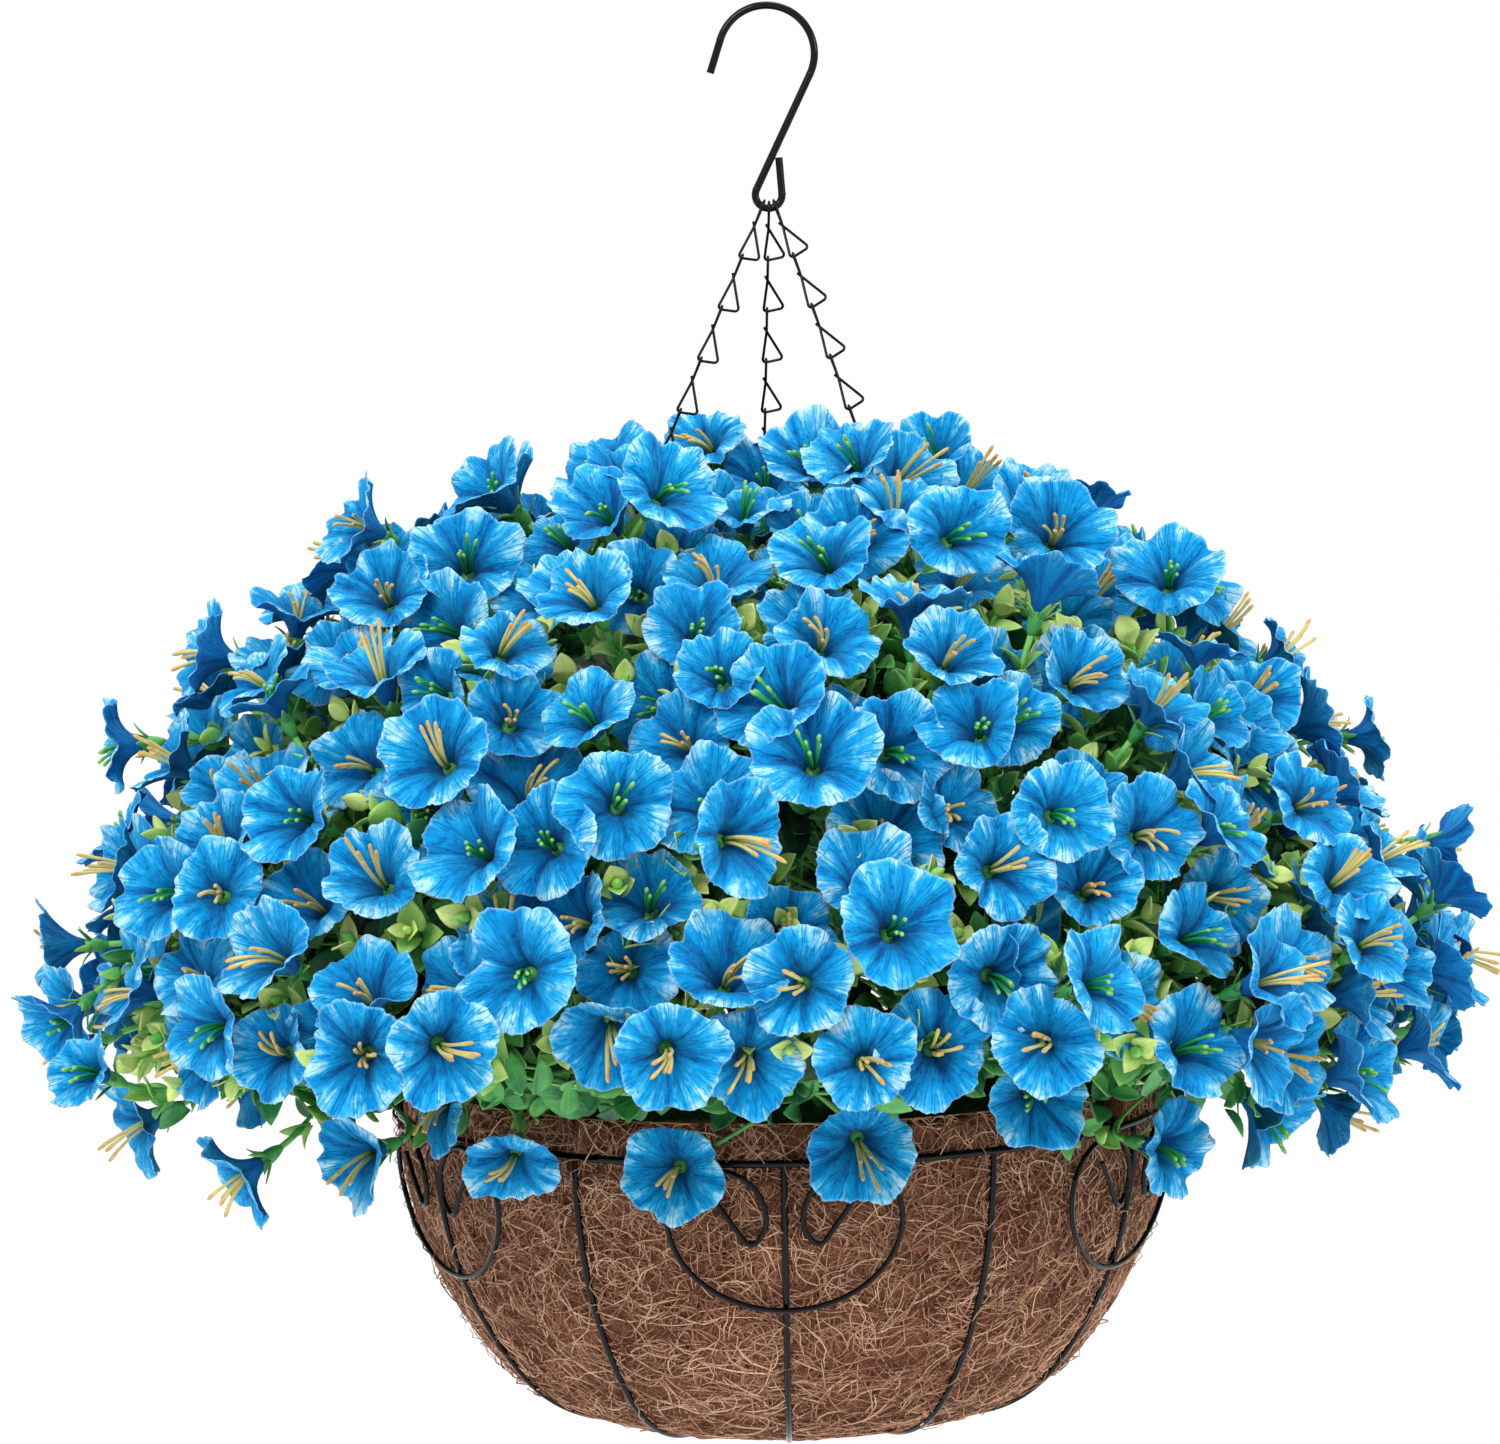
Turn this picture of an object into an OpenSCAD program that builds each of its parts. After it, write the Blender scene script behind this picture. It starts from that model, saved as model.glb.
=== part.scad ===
// Hanging basket: an S-hook, three chains of bent-wire links, a welded wire bowl frame
// with scrollwork, a coir liner, a foam block and thirteen sprays of cloth flowers.
// Millimetres, +Z up. The origin is the inside top of the hook's upper bend, which is
// where the hook rests on whatever holds it. Every height in the bowl is measured
// from the plane of the rim.

/* [Hook] */
// Thickness of the hook's wire
hook_wire = 3; // [2.6:0.1:3.2]
// Centreline radius of the upper bend
hook_top_r = 18.7; // [16:0.1:22]
// Centreline radius of the lower bend
hook_low_r = 5.2; // [5:0.1:6]
// Distance between the centres of the two bends
hook_span = 54.5; // [48:0.5:64]
// How far round from level the upper bend runs on the open side, in degrees
hook_open_angle = 162; // [150:1:175]
// Straight length after the upper bend
hook_top_tail = 13.6; // [6:0.2:18]
// Straight length after the lower bend
hook_low_tail = 14; // [8:0.5:16]

/* [Chains] */
// Thickness of the links' wire
link_wire = 1.1; // [0.9:0.05:1.2]
// Length that each link adds to its chain
link_pitch = 21.6; // [20.6:0.1:23]
// Number of links in each chain
link_count = 17; // [16:1:20]
// Nominal length of the clip that ties each chain to the rim
clip_length = 13.6; // [12.5:0.1:16]
// Height of a link's crossing below its upper bend
crossing_drop = 8.4; // [7.6:0.1:9]
// Width of the bent triangle at the foot of each link
link_foot = 4.9; // [4:0.1:5.4]

/* [Bowl frame] */
// Centreline radius of the rim
rim_r = 152.4; // [150:0.1:160]
// Thickness of the rim's wire
rim_wire = 2.8; // [2.4:0.1:3]
// Thickness of the ribs' wire
rib_wire = 2.4; // [2:0.1:2.6]
// Number of ribs
rib_count = 12; // [12:1:12]
// Angle below level at which the bowl starts to turn in, in degrees
shoulder_angle = 40; // [36:1:44]
// Radius of the turn into the flat bottom
shoulder_r = 60; // [54:1:66]
// Centreline radius of the ring under the bowl
base_r = 45; // [35:1:55]

/* [Scrollwork] */
// Number of scrolls round the bowl
scroll_count = 6; // [6:1:6]
// Thickness of the scrolls' wire
scroll_wire = 2.1; // [1.8:0.1:2.3]
// Half width of one scroll
scroll_half = 42.6; // [41:0.2:43.4]
// Depth of one scroll below its arches' centres
scroll_depth = 35; // [30:1:40]
// Centreline radius of the arches under the rim
arch_r = 18; // [16:0.5:18]
// Centreline radius of the easy curve from each arch down to its tight bend
sweep_r = 12; // [10:1:14]
// Centreline radius of the tight bend
bend_r = 3; // [2.5:0.5:4]
// Slope of the straight leg that rises from the tight bend
leg_angle = 55; // [45:5:65]
// Length of the straight leg
leg_length = 21; // [12:1:22]

/* [Liner and foam] */
// Thickness of the coir
liner_t = 8; // [6:0.5:10]
// How far the liner stands above the rim
liner_lip = 15; // [10:1:18]
// Depth of the foam's top below the liner's lip
foam_gap = 5; // [4:1:7]

/* [Flowers] */
// Thickness of the main stems
stem_d = 5; // [4:0.5:6]
// Radius of the whole head of flowers
head_r = 290; // [270:1:300]
// Height of the head's top above the rim
head_top = 250; // [235:1:255]
// Height above the rim at which the upper sprays start
crown_low = 42; // [40:1:48]
// Height above the rim at which the trailing sprays end
trail_top = 58; // [54:1:64]
// Half width of the slot that each chain passes through
chain_slot = 9; // [8.5:0.5:12]

/* [Hidden] */
FINE = 48;
CHAIN_NAMES = ["left", "back", "right"];
CHAIN_ANGLES = [190, 95, -36];
HOOK_SEATS = [-30, 0, 30];
CROWN_EDGES = [-36, 31, 95, 144, 190, 257, 324];
CROWN_SLOTS = [true, false, true, false, true, false, true];
TRAIL_DROPS = [-16, 40, 40, -16, 40, 40];
SPRAY_COUNT = 6;

function numbered(name, count) = [for (k = [1:count]) str(name, k)];

// Hook
hook_top_z = hook_wire / 2 - hook_top_r;
hook_low_z = hook_top_z - hook_span;
shank_angle = asin((hook_top_r + hook_low_r) / hook_span);
hook_low_end = 4;

// Chains
wire_gap = 0.25;
hook_gap = 0.45;
link_bend_r = link_wire + wire_gap;
foot_bend_r = 1.3;
foot_rise = 14;
free_end = 2;
joint_bead = 1.05;
top_bend_r = (hook_wire + link_wire) / 2 + hook_gap;
rim_bend_r = (rim_wire + link_wire) / 2 + wire_gap;
clip_crossing = 5.5;

// Bowl
chain_length = link_count * link_pitch + clip_length;
rim_z = hook_low_z - hook_low_r - sqrt(chain_length ^ 2 - rim_r ^ 2);
bowl_r = rim_r;
shoulder = (bowl_r - shoulder_r) * [cos(shoulder_angle), -sin(shoulder_angle)];
bowl_bottom = shoulder[1] - shoulder_r;

// Scrolls. The arches stop just under the rim's wire.
weld_gap = 0.1;
arch_drop = 2;
scroll_r = bowl_r + (rib_wire + scroll_wire) / 2 + weld_gap;
arch_x = scroll_half - arch_r;
arch_z = -arch_drop - arch_r;
sweep_x = arch_x - arch_r + sweep_r;
wire_sides = 8;

// Liner, foam and stems
soft_gap = 0.3;
liner_out = bowl_r - rib_wire / 2 - soft_gap;
liner_in = liner_out - liner_t;
foam_r = liner_in - soft_gap;
notch_low = -5;
bore_gap = 0.1;
centre_stem_low = -85;
socket = 20;
crown_foot = [55, -80];
crown_end = [136, crown_low];
riser_r = 115;
riser_low = -70;
arch_stem_r = 25;
arch_stem_z = 10;
trail_gap = 12.6;
trail_in = rim_r + trail_gap;

// Helpers for bent wire. Bends lie in the XZ plane, with angles from +X towards +Z.
module bend(centre, r, start, sweep, wire) {
    translate([centre[0], 0, centre[1]])
        rotate([90, 0, 0])
            rotate_extrude(angle = sweep, start = start, $fn = FINE)
                translate([r, 0])
                    circle(d = wire, $fn = FINE);
}

module rod(from, to, wire) {
    along = to - from;
    translate(from)
        rotate([0, acos(along[2] / norm(along)), atan2(along[1], along[0])])
            cylinder(d = wire, h = norm(along), $fn = FINE);
}

function on_circle(centre, r, angle) = centre + r * [cos(angle), sin(angle)];
function upright(p) = [p[0], 0, p[1]];

// The angle, seen from the circle's centre, at which a line from the point touches it
function touch(point, centre, r, side) =
    let (away = point - centre)
    atan2(away[1], away[0]) + side * acos(r / norm(away));

module flat_rod(from, to, wire) {
    rod(upright(from), upright(to), wire);
}

// A bead where two lengths of wire meet, a little thicker than the wire
module bead(at, wire) {
    translate(upright(at))
        sphere(d = wire * joint_bead, $fn = FINE);
}

// A straight length with a bead at each end
module beaded_rod(from, to, wire) {
    flat_rod(from, to, wire);
    bead(from, wire);
    bead(to, wire);
}

// A bend at one end of a wire eye, and its two legs, which meet at the crossing
module eye(crossing, centre, r, wire) {
    first = touch(crossing, centre, r, 1);
    last = touch(crossing, centre, r, -1);
    bend(centre, r, first, 360 + last - first, wire);
    for (angle = [first, last]) {
        flat_rod(on_circle(centre, r, angle), crossing, wire);
        bead(on_circle(centre, r, angle), wire);
    }
}

module s_hook() {
    top = [0, hook_top_z];
    low = [0, hook_low_z];
    open_end = on_circle(top, hook_top_r, hook_open_angle);
    low_end = on_circle(low, hook_low_r, hook_low_end);
    open_way = [-sin(hook_open_angle), cos(hook_open_angle)];
    low_way = [-sin(hook_low_end), cos(hook_low_end)];
    color([0.05, 0.05, 0.08]) {
        flat_rod(open_end, open_end + hook_top_tail * open_way, hook_wire);
        bead(open_end, hook_wire);
        bend(top, hook_top_r, -shank_angle, hook_open_angle + shank_angle, hook_wire);
        beaded_rod(on_circle(top, hook_top_r, -shank_angle),
            on_circle(low, hook_low_r, 180 - shank_angle), hook_wire);
        bend(low, hook_low_r, 180 - shank_angle, 180 + shank_angle + hook_low_end, hook_wire);
        bead(low_end, hook_wire);
        flat_rod(low_end, low_end + hook_low_tail * low_way, hook_wire);
    }
}

// One link hangs from its own origin along -Z. Its upper eye lies in the YZ plane and
// its bent triangle in the XZ plane, so that the next link hangs square to it.
module link(eye_r) {
    crossing = [0, -crossing_drop];
    near = [0, foot_bend_r - link_pitch];
    far = near + link_foot * [1, tan(foot_rise)];
    load_touch = touch(crossing, near, foot_bend_r, 1);
    slant_touch = touch(crossing, far, foot_bend_r, -1);
    slant_low = on_circle(far, foot_bend_r, slant_touch);
    slant_way = (crossing - slant_low) / norm(crossing - slant_low);
    under = foot_rise - 90;
    rotate([0, 0, 90])
        eye(crossing, [0, 0], eye_r, link_wire);
    bead(crossing, link_wire);
    flat_rod(crossing, on_circle(near, foot_bend_r, load_touch), link_wire);
    bead(on_circle(near, foot_bend_r, load_touch), link_wire);
    bend(near, foot_bend_r, load_touch, 360 + under - load_touch, link_wire);
    beaded_rod(on_circle(near, foot_bend_r, under), on_circle(far, foot_bend_r, under), link_wire);
    bend(far, foot_bend_r, under, slant_touch - under, link_wire);
    bead(slant_low, link_wire);
    flat_rod(slant_low, crossing + free_end * slant_way, link_wire);
}

// Each chain runs straight from its seat in the hook's lower bend to the rim
function seat(side) = upright(on_circle([0, hook_low_z], hook_low_r, HOOK_SEATS[side] - 90));
function rim_point(side) =
    [rim_r * cos(CHAIN_ANGLES[side]), rim_r * sin(CHAIN_ANGLES[side]), rim_z];
function unit(v) = v / norm(v);
function chain_way(side) = unit(rim_point(side) - seat(side));
function chain_side(way) = unit([1, 0, 0] - way[0] * way);

// Stands its children, which hang along -Z, on the line of a chain
module along_chain(side, distance) {
    way = chain_way(side);
    across = chain_side(way);
    turn = cross(across, way);
    at = seat(side) + distance * way;
    multmatrix([
        [across[0], turn[0], -way[0], at[0]],
        [across[1], turn[1], -way[1], at[1]],
        [across[2], turn[2], -way[2], at[2]],
        [0, 0, 0, 1]
    ])
        children();
}

module chain(side) {
    color([0.05, 0.05, 0.08])
        for (k = [0:link_count - 1])
            along_chain(side, k * link_pitch)
                link(k == 0 ? top_bend_r : link_bend_r);
}

// The clip's lower eye is turned so that it stands square across the rim's wire
module rim_clip(side) {
    way = chain_way(side);
    across = chain_side(way);
    turn = cross(across, way);
    along_rim = [-sin(CHAIN_ANGLES[side]), cos(CHAIN_ANGLES[side]), 0];
    eye_way = cross(along_rim, way);
    length = norm(rim_point(side) - seat(side)) - link_count * link_pitch;
    crossing = [0, -clip_crossing];
    color([0.05, 0.05, 0.08])
        along_chain(side, link_count * link_pitch) {
            rotate([0, 0, 90])
                eye(crossing, [0, 0], link_bend_r, link_wire);
            bead(crossing, link_wire);
            rotate([0, 0, atan2(eye_way * turn, eye_way * across)])
                eye(crossing, [0, -length], rim_bend_r, link_wire);
        }
}

module ring(r, wire) {
    rotate_extrude($fn = 2 * FINE)
        translate([r, 0])
            circle(d = wire, $fn = FINE);
}

module rim_shape() {
    translate([0, 0, rim_z])
        ring(rim_r, rim_wire);
}

module base_shape() {
    translate([0, 0, rim_z + bowl_bottom])
        ring(base_r, rim_wire);
}

module rim_ring() {
    color([0.05, 0.05, 0.08])
        rim_shape();
}

module base_ring() {
    color([0.05, 0.05, 0.08])
        base_shape();
}

// One rib: down the bowl's wall, round its shoulder and in to the base ring, where it
// stops against the ring's wire, as it stops against the rim's at the top.
module rib(k) {
    color([0.05, 0.05, 0.08])
        difference() {
            rotate([0, 0, (k - 1) * 360 / rib_count - 90])
                translate([0, 0, rim_z]) {
                    bend([0, 0], bowl_r, -shoulder_angle, shoulder_angle, rib_wire);
                    bead(on_circle([0, 0], bowl_r, -shoulder_angle), rib_wire);
                    bend(shoulder, shoulder_r, -90, 90 - shoulder_angle, rib_wire);
                    bead([shoulder[0], bowl_bottom], rib_wire);
                    flat_rod([base_r, bowl_bottom], [shoulder[0], bowl_bottom], rib_wire);
                }
            rim_shape();
            base_shape();
        }
}

// Half of a scroll's outline, seen square on: sideways distance and height. It runs from
// the tip of the leg, down to the tight bend, up into the arch, over it and down to the
// middle of the cup.
bend_at = on_circle([sweep_x, arch_z], sweep_r - bend_r, -135);
leg_foot = on_circle(bend_at, bend_r, leg_angle - 90);
half_scroll = concat(
    [for (share = [1, 0.5]) on_circle(leg_foot, share * leg_length, leg_angle)],
    [for (k = [0:4]) on_circle(bend_at, bend_r, leg_angle - 90 - k / 4 * (leg_angle + 45))],
    [for (a = [-150:-15:-165]) on_circle([sweep_x, arch_z], sweep_r, a)],
    [for (a = [180:-15:0]) on_circle([arch_x, arch_z], arch_r, a)],
    [for (a = [-6:-6:-90]) [scroll_half * cos(a), arch_z + scroll_depth * sin(a)]]
);
last_point = len(half_scroll) - 1;
scroll_line = concat(
    half_scroll,
    [for (k = [last_point - 1:-1:0]) [-half_scroll[k][0], half_scroll[k][1]]]
);

// The outline laid on the ball of the bowl, outside the ribs
function on_bowl(p) = [sqrt(scroll_r ^ 2 - p[0] ^ 2 - p[1] ^ 2), p[0], p[1]];
function way_at(points, k) =
    unit(points[min(k + 1, len(points) - 1)] - points[max(k - 1, 0)]);

// A wire swept along points that lie on a ball about the origin
module swept_wire(points, wire) {
    rings = [
        for (k = [0:len(points) - 1])
            let (out = unit(points[k]), side = unit(cross(way_at(points, k), out)))
            for (j = [0:wire_sides - 1])
                points[k] + wire / 2 * (cos(j * 360 / wire_sides) * out
                    + sin(j * 360 / wire_sides) * side)
    ];
    walls = [
        for (k = [0:len(points) - 2])
            for (j = [0:wire_sides - 1])
                let (a = k * wire_sides + j, b = k * wire_sides + (j + 1) % wire_sides)
                [a, b, b + wire_sides, a + wire_sides]
    ];
    first_end = [for (j = [wire_sides - 1:-1:0]) j];
    last_end = [for (j = [0:wire_sides - 1]) (len(points) - 1) * wire_sides + j];
    polyhedron(rings, concat(walls, [first_end], [last_end]));
}

module scroll(k) {
    color([0.05, 0.05, 0.08])
        translate([0, 0, rim_z])
            rotate([0, 0, (k - 1) * 360 / scroll_count - 90])
                swept_wire([for (p = scroll_line) on_bowl(p)], scroll_wire);
}

// Points of the bowl's section for a surface whose radius at the rim is r, from the rim
// down to where the flat bottom starts
function bowl_section(r) = concat(
    [for (a = [0:-5:-shoulder_angle]) r * [cos(a), sin(a)]],
    [for (a = [-shoulder_angle - 5:-5:-90])
        on_circle(shoulder, shoulder_r - bowl_r + r, a)]
);

function turned_round(points) = [for (k = [len(points) - 1:-1:0]) points[k]];

module chain_notches(half_width, low) {
    for (angle = CHAIN_ANGLES)
        rotate([0, 0, angle])
            translate([liner_in / 2, -half_width, low])
                cube([rim_r, 2 * half_width, liner_lip - low + 1]);
}

module coir_liner() {
    color([0.5, 0.33, 0.2])
        translate([0, 0, rim_z])
            difference() {
                rotate_extrude($fn = 2 * FINE)
                    polygon(concat(
                        [[liner_out, liner_lip]],
                        bowl_section(liner_out),
                        [[0, shoulder[1] - shoulder_r + bowl_r - liner_out]],
                        [[0, shoulder[1] - shoulder_r + bowl_r - liner_in]],
                        turned_round(bowl_section(liner_in)),
                        [[liner_in, liner_lip]]
                    ));
                chain_notches(chain_slot, notch_low);
            }
}

module foam_block() {
    top = liner_lip - foam_gap;
    section = bowl_section(foam_r);
    color([0.25, 0.4, 0.25])
        translate([0, 0, rim_z])
            difference() {
                rotate_extrude($fn = 2 * FINE)
                    polygon(concat(
                        [[foam_r, top]],
                        section,
                        [[0, section[len(section) - 1][1]], [0, top]]
                    ));
                stem_bores();
            }
}

// Stems. The centre stem stands upright, the crown stems lean outwards, and the trailing
// stems rise, arch over the liner's lip and enter their sprays level.
function crown_angle(k) = (CROWN_EDGES[k - 1] + CROWN_EDGES[k]) / 2;
function trail_angle(k) = (k - 1) * 360 / SPRAY_COUNT - 90;

module centre_stem_shape(wire) {
    rod([0, 0, centre_stem_low], [0, 0, crown_low + socket], wire);
}

module crown_stem_shape(k, wire) {
    lean = unit(crown_end - crown_foot);
    rotate([0, 0, crown_angle(k)])
        flat_rod(crown_foot, crown_end + socket * lean, wire);
}

module trailing_stem_shape(k, wire) {
    arch_centre = [riser_r + arch_stem_r, arch_stem_z];
    arch_top = arch_stem_z + arch_stem_r;
    rotate([0, 0, trail_angle(k)]) {
        flat_rod([riser_r, riser_low], [riser_r, arch_stem_z], wire);
        bead([riser_r, arch_stem_z], wire);
        bend(arch_centre, arch_stem_r, 90, 90, wire);
        bead([arch_centre[0], arch_top], wire);
        flat_rod([arch_centre[0], arch_top], [trail_in + socket, arch_top], wire);
    }
}

module stem_bores() {
    bore = stem_d + 2 * bore_gap;
    centre_stem_shape(bore);
    for (k = [1:SPRAY_COUNT]) {
        crown_stem_shape(k, bore);
        trailing_stem_shape(k, bore);
    }
}

module centre_stem() {
    color([0.2, 0.4, 0.15])
        translate([0, 0, rim_z])
            centre_stem_shape(stem_d);
}

module crown_stem(k) {
    color([0.2, 0.4, 0.15])
        translate([0, 0, rim_z])
            crown_stem_shape(k, stem_d);
}

module trailing_stem(k) {
    color([0.2, 0.4, 0.15])
        translate([0, 0, rim_z])
            trailing_stem_shape(k, stem_d);
}

// Sprays: plain solids of the outer size of each spray of leaves and flowers. The chains
// lie on a cone, so the centre spray stays inside it and the crown sprays outside it.
// The dome is given as shares of the head's radius and height, and the cuts along the
// trailing sprays' lower edges as sideways and upward lengths.
DOME = [[0.92, 0.55], [0.79, 0.74], [0.59, 0.9], [0.34, 0.97]];
inner_cut = [17, 12];
outer_cut = [29, 24];
side_slope = [6, 10];
step_gap = 4;
seam = 0.5;
rim_drop = hook_low_z - hook_low_r - rim_z;
function cone_r(height) = rim_r * (1 - height / rim_drop);

module spoke(angle, half_width) {
    rotate([0, 0, angle])
        translate([0, -half_width, -head_r])
            cube([2 * head_r, 2 * half_width, 3 * head_r]);
}

module centre_spray() {
    top = head_top - step_gap;
    color([0.15, 0.45, 0.85])
        translate([0, 0, rim_z])
            difference() {
                rotate_extrude($fn = 2 * FINE)
                    polygon([
                        [0, crown_low],
                        [cone_r(crown_low) - chain_slot, crown_low],
                        [cone_r(top) - chain_slot, top],
                        [0, head_top]
                    ]);
                stem_bores();
            }
}

module crown_spray(k) {
    from = CROWN_EDGES[k - 1];
    to = CROWN_EDGES[k];
    inner = chain_slot - 2 * seam;
    top = head_top - step_gap;
    color([0.2, 0.5, 0.9])
        translate([0, 0, rim_z])
            difference() {
                rotate_extrude(angle = to - from, start = from, $fn = 2 * FINE)
                    polygon(concat(
                        [
                            [cone_r(crown_low) - inner, crown_low],
                            [trail_in - step_gap, crown_low],
                            [trail_in - step_gap, trail_top + step_gap],
                            [head_r, trail_top + step_gap]
                        ],
                        [for (share = DOME) [share[0] * head_r, share[1] * head_top]],
                        [[cone_r(top) - inner, top]]
                    ));
                spoke(from, CROWN_SLOTS[k - 1] ? chain_slot : seam);
                spoke(to, CROWN_SLOTS[k] ? chain_slot : seam);
                stem_bores();
            }
}

module trailing_spray(k) {
    drop = TRAIL_DROPS[k - 1];
    from = trail_angle(k) - 180 / SPRAY_COUNT;
    to = trail_angle(k) + 180 / SPRAY_COUNT;
    color([0.25, 0.55, 0.95])
        translate([0, 0, rim_z])
            difference() {
                rotate_extrude(angle = to - from, start = from, $fn = 2 * FINE)
                    polygon([
                        [trail_in, trail_top],
                        [trail_in, inner_cut[1] - drop],
                        [trail_in + inner_cut[0], -drop],
                        [head_r - side_slope[0] - outer_cut[0], -drop],
                        [head_r - side_slope[0], outer_cut[1] - drop],
                        [head_r, trail_top - side_slope[1]],
                        [head_r, trail_top]
                    ]);
                spoke(from, seam);
                spoke(to, seam);
                stem_bores();
            }
}

s_hook();
for (k = [0:2]) chain(k);
for (k = [0:2]) rim_clip(k);
rim_ring();
for (k = [1:rib_count]) rib(k);
base_ring();
for (k = [1:scroll_count]) scroll(k);
coir_liner();
foam_block();
centre_stem();
for (k = [1:SPRAY_COUNT]) crown_stem(k);
for (k = [1:SPRAY_COUNT]) trailing_stem(k);
centre_spray();
for (k = [1:SPRAY_COUNT]) crown_spray(k);
for (k = [1:SPRAY_COUNT]) trailing_spray(k);
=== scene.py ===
# %% [markdown]
# # A hanging basket of cloth flowers
# The basket is a wire bowl on three chains, lined with coconut fibre and filled with
# plastic-stemmed sprays of blue cloth flowers. The wires, chains, hook and main stems come
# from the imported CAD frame, because their shapes are already right. What is made here is
# everything soft: the fibre liner, the foam, and some hundreds of flowers with their leaves.
# Lengths are in millimetres until a mesh is built, as they are measured on a bench.

import math

import bpy
import numpy as np
from mathutils import Matrix, Vector


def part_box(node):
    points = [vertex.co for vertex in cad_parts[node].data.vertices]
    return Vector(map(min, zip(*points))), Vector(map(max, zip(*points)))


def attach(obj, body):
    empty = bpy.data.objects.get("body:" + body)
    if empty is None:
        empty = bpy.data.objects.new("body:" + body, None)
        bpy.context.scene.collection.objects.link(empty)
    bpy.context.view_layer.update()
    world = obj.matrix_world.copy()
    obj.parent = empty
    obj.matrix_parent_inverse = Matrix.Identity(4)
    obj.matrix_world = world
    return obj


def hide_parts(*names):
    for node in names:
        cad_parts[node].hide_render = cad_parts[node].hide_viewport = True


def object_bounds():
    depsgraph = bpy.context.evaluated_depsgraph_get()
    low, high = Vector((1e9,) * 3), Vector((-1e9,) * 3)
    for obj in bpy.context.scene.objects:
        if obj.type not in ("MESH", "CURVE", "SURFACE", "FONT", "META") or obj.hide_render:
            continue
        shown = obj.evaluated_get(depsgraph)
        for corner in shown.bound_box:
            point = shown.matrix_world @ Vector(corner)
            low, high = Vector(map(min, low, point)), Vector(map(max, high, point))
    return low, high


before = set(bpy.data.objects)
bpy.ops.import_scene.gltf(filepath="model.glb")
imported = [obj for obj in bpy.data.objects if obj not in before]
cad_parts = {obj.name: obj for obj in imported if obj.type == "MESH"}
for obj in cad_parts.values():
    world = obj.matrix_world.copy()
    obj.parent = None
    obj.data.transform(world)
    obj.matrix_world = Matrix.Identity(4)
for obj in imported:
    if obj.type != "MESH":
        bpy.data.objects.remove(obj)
cad_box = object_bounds()
MM = 0.001
TAU = 2 * math.pi
print("CAD box", [[round(x, 4) for x in corner] for corner in cad_box])

# %% Read the driving sizes from the frame
rim_low, rim_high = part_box("rim_ring")
RIM_WIRE = (rim_high.z - rim_low.z) / MM
RIM_R = (rim_high.x - rim_low.x) / 2 / MM - RIM_WIRE / 2
RIM_Z = (rim_low.z + rim_high.z) / 2 / MM
liner_low, liner_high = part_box("coir_liner")
LINER_R = (liner_high.y - liner_low.y) / 2 / MM
LINER_LIP = liner_high.z / MM - RIM_Z
CHAIN_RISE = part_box("s_hook")[0].z / MM - RIM_Z
print(f"rim radius {RIM_R:.1f} at z {RIM_Z:.1f}; liner radius {LINER_R:.1f}, "
      f"lip {LINER_LIP:.1f} above the rim; chains rise {CHAIN_RISE:.1f}")

# %% [markdown]
# ## Camera
# A product picture is taken from a little above the rim with a long lens, so that the bowl's
# rim is a narrow ellipse. The camera stands about 1.6 m away and looks down by four degrees.
# A roll of one degree lets the basket hang slightly turned, as it does on its hook.

# %% Camera
CAMERA_PLACE = Vector((0.0054, -1.60, RIM_Z * MM + 0.2628))
CAMERA_PITCH = math.radians(4.094)
CAMERA_YAW = math.radians(-0.583)
CAMERA_ROLL = math.radians(1.004)
CAMERA_LENS = 97.85


def placed(name, data):
    """A new object that holds the data, in the scene."""
    thing = bpy.data.objects.new(name, data)
    bpy.context.scene.collection.objects.link(thing)
    return thing


def aim_camera():
    forward = Vector((math.sin(CAMERA_YAW) * math.cos(CAMERA_PITCH),
                      math.cos(CAMERA_YAW) * math.cos(CAMERA_PITCH),
                      -math.sin(CAMERA_PITCH)))
    level = Vector((math.cos(CAMERA_YAW), -math.sin(CAMERA_YAW), 0))
    upright = level.cross(forward)
    right = level * math.cos(CAMERA_ROLL) - upright * math.sin(CAMERA_ROLL)
    above = level * math.sin(CAMERA_ROLL) + upright * math.cos(CAMERA_ROLL)
    turn = Matrix((right, above, -forward)).transposed().to_4x4()
    data = bpy.data.cameras.new("camera")
    data.lens = CAMERA_LENS
    data.sensor_width = 36
    camera = placed("camera", data)
    camera.matrix_world = Matrix.Translation(CAMERA_PLACE) @ turn
    bpy.context.scene.camera = camera


aim_camera()
print("camera", [round(x, 3) for x in CAMERA_PLACE], "lens", CAMERA_LENS)

# %% [markdown]
# ## Turning points into pieces
# A flower head has more than a million faces, so nothing is modelled by hand or with
# operators. Each piece is worked out as arrays of points and faces and handed to Blender in
# one go. Values that a material needs, such as how far a point lies from the throat of its
# flower, are stored on the points as named marks, and the shader reads them back by name.

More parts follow.
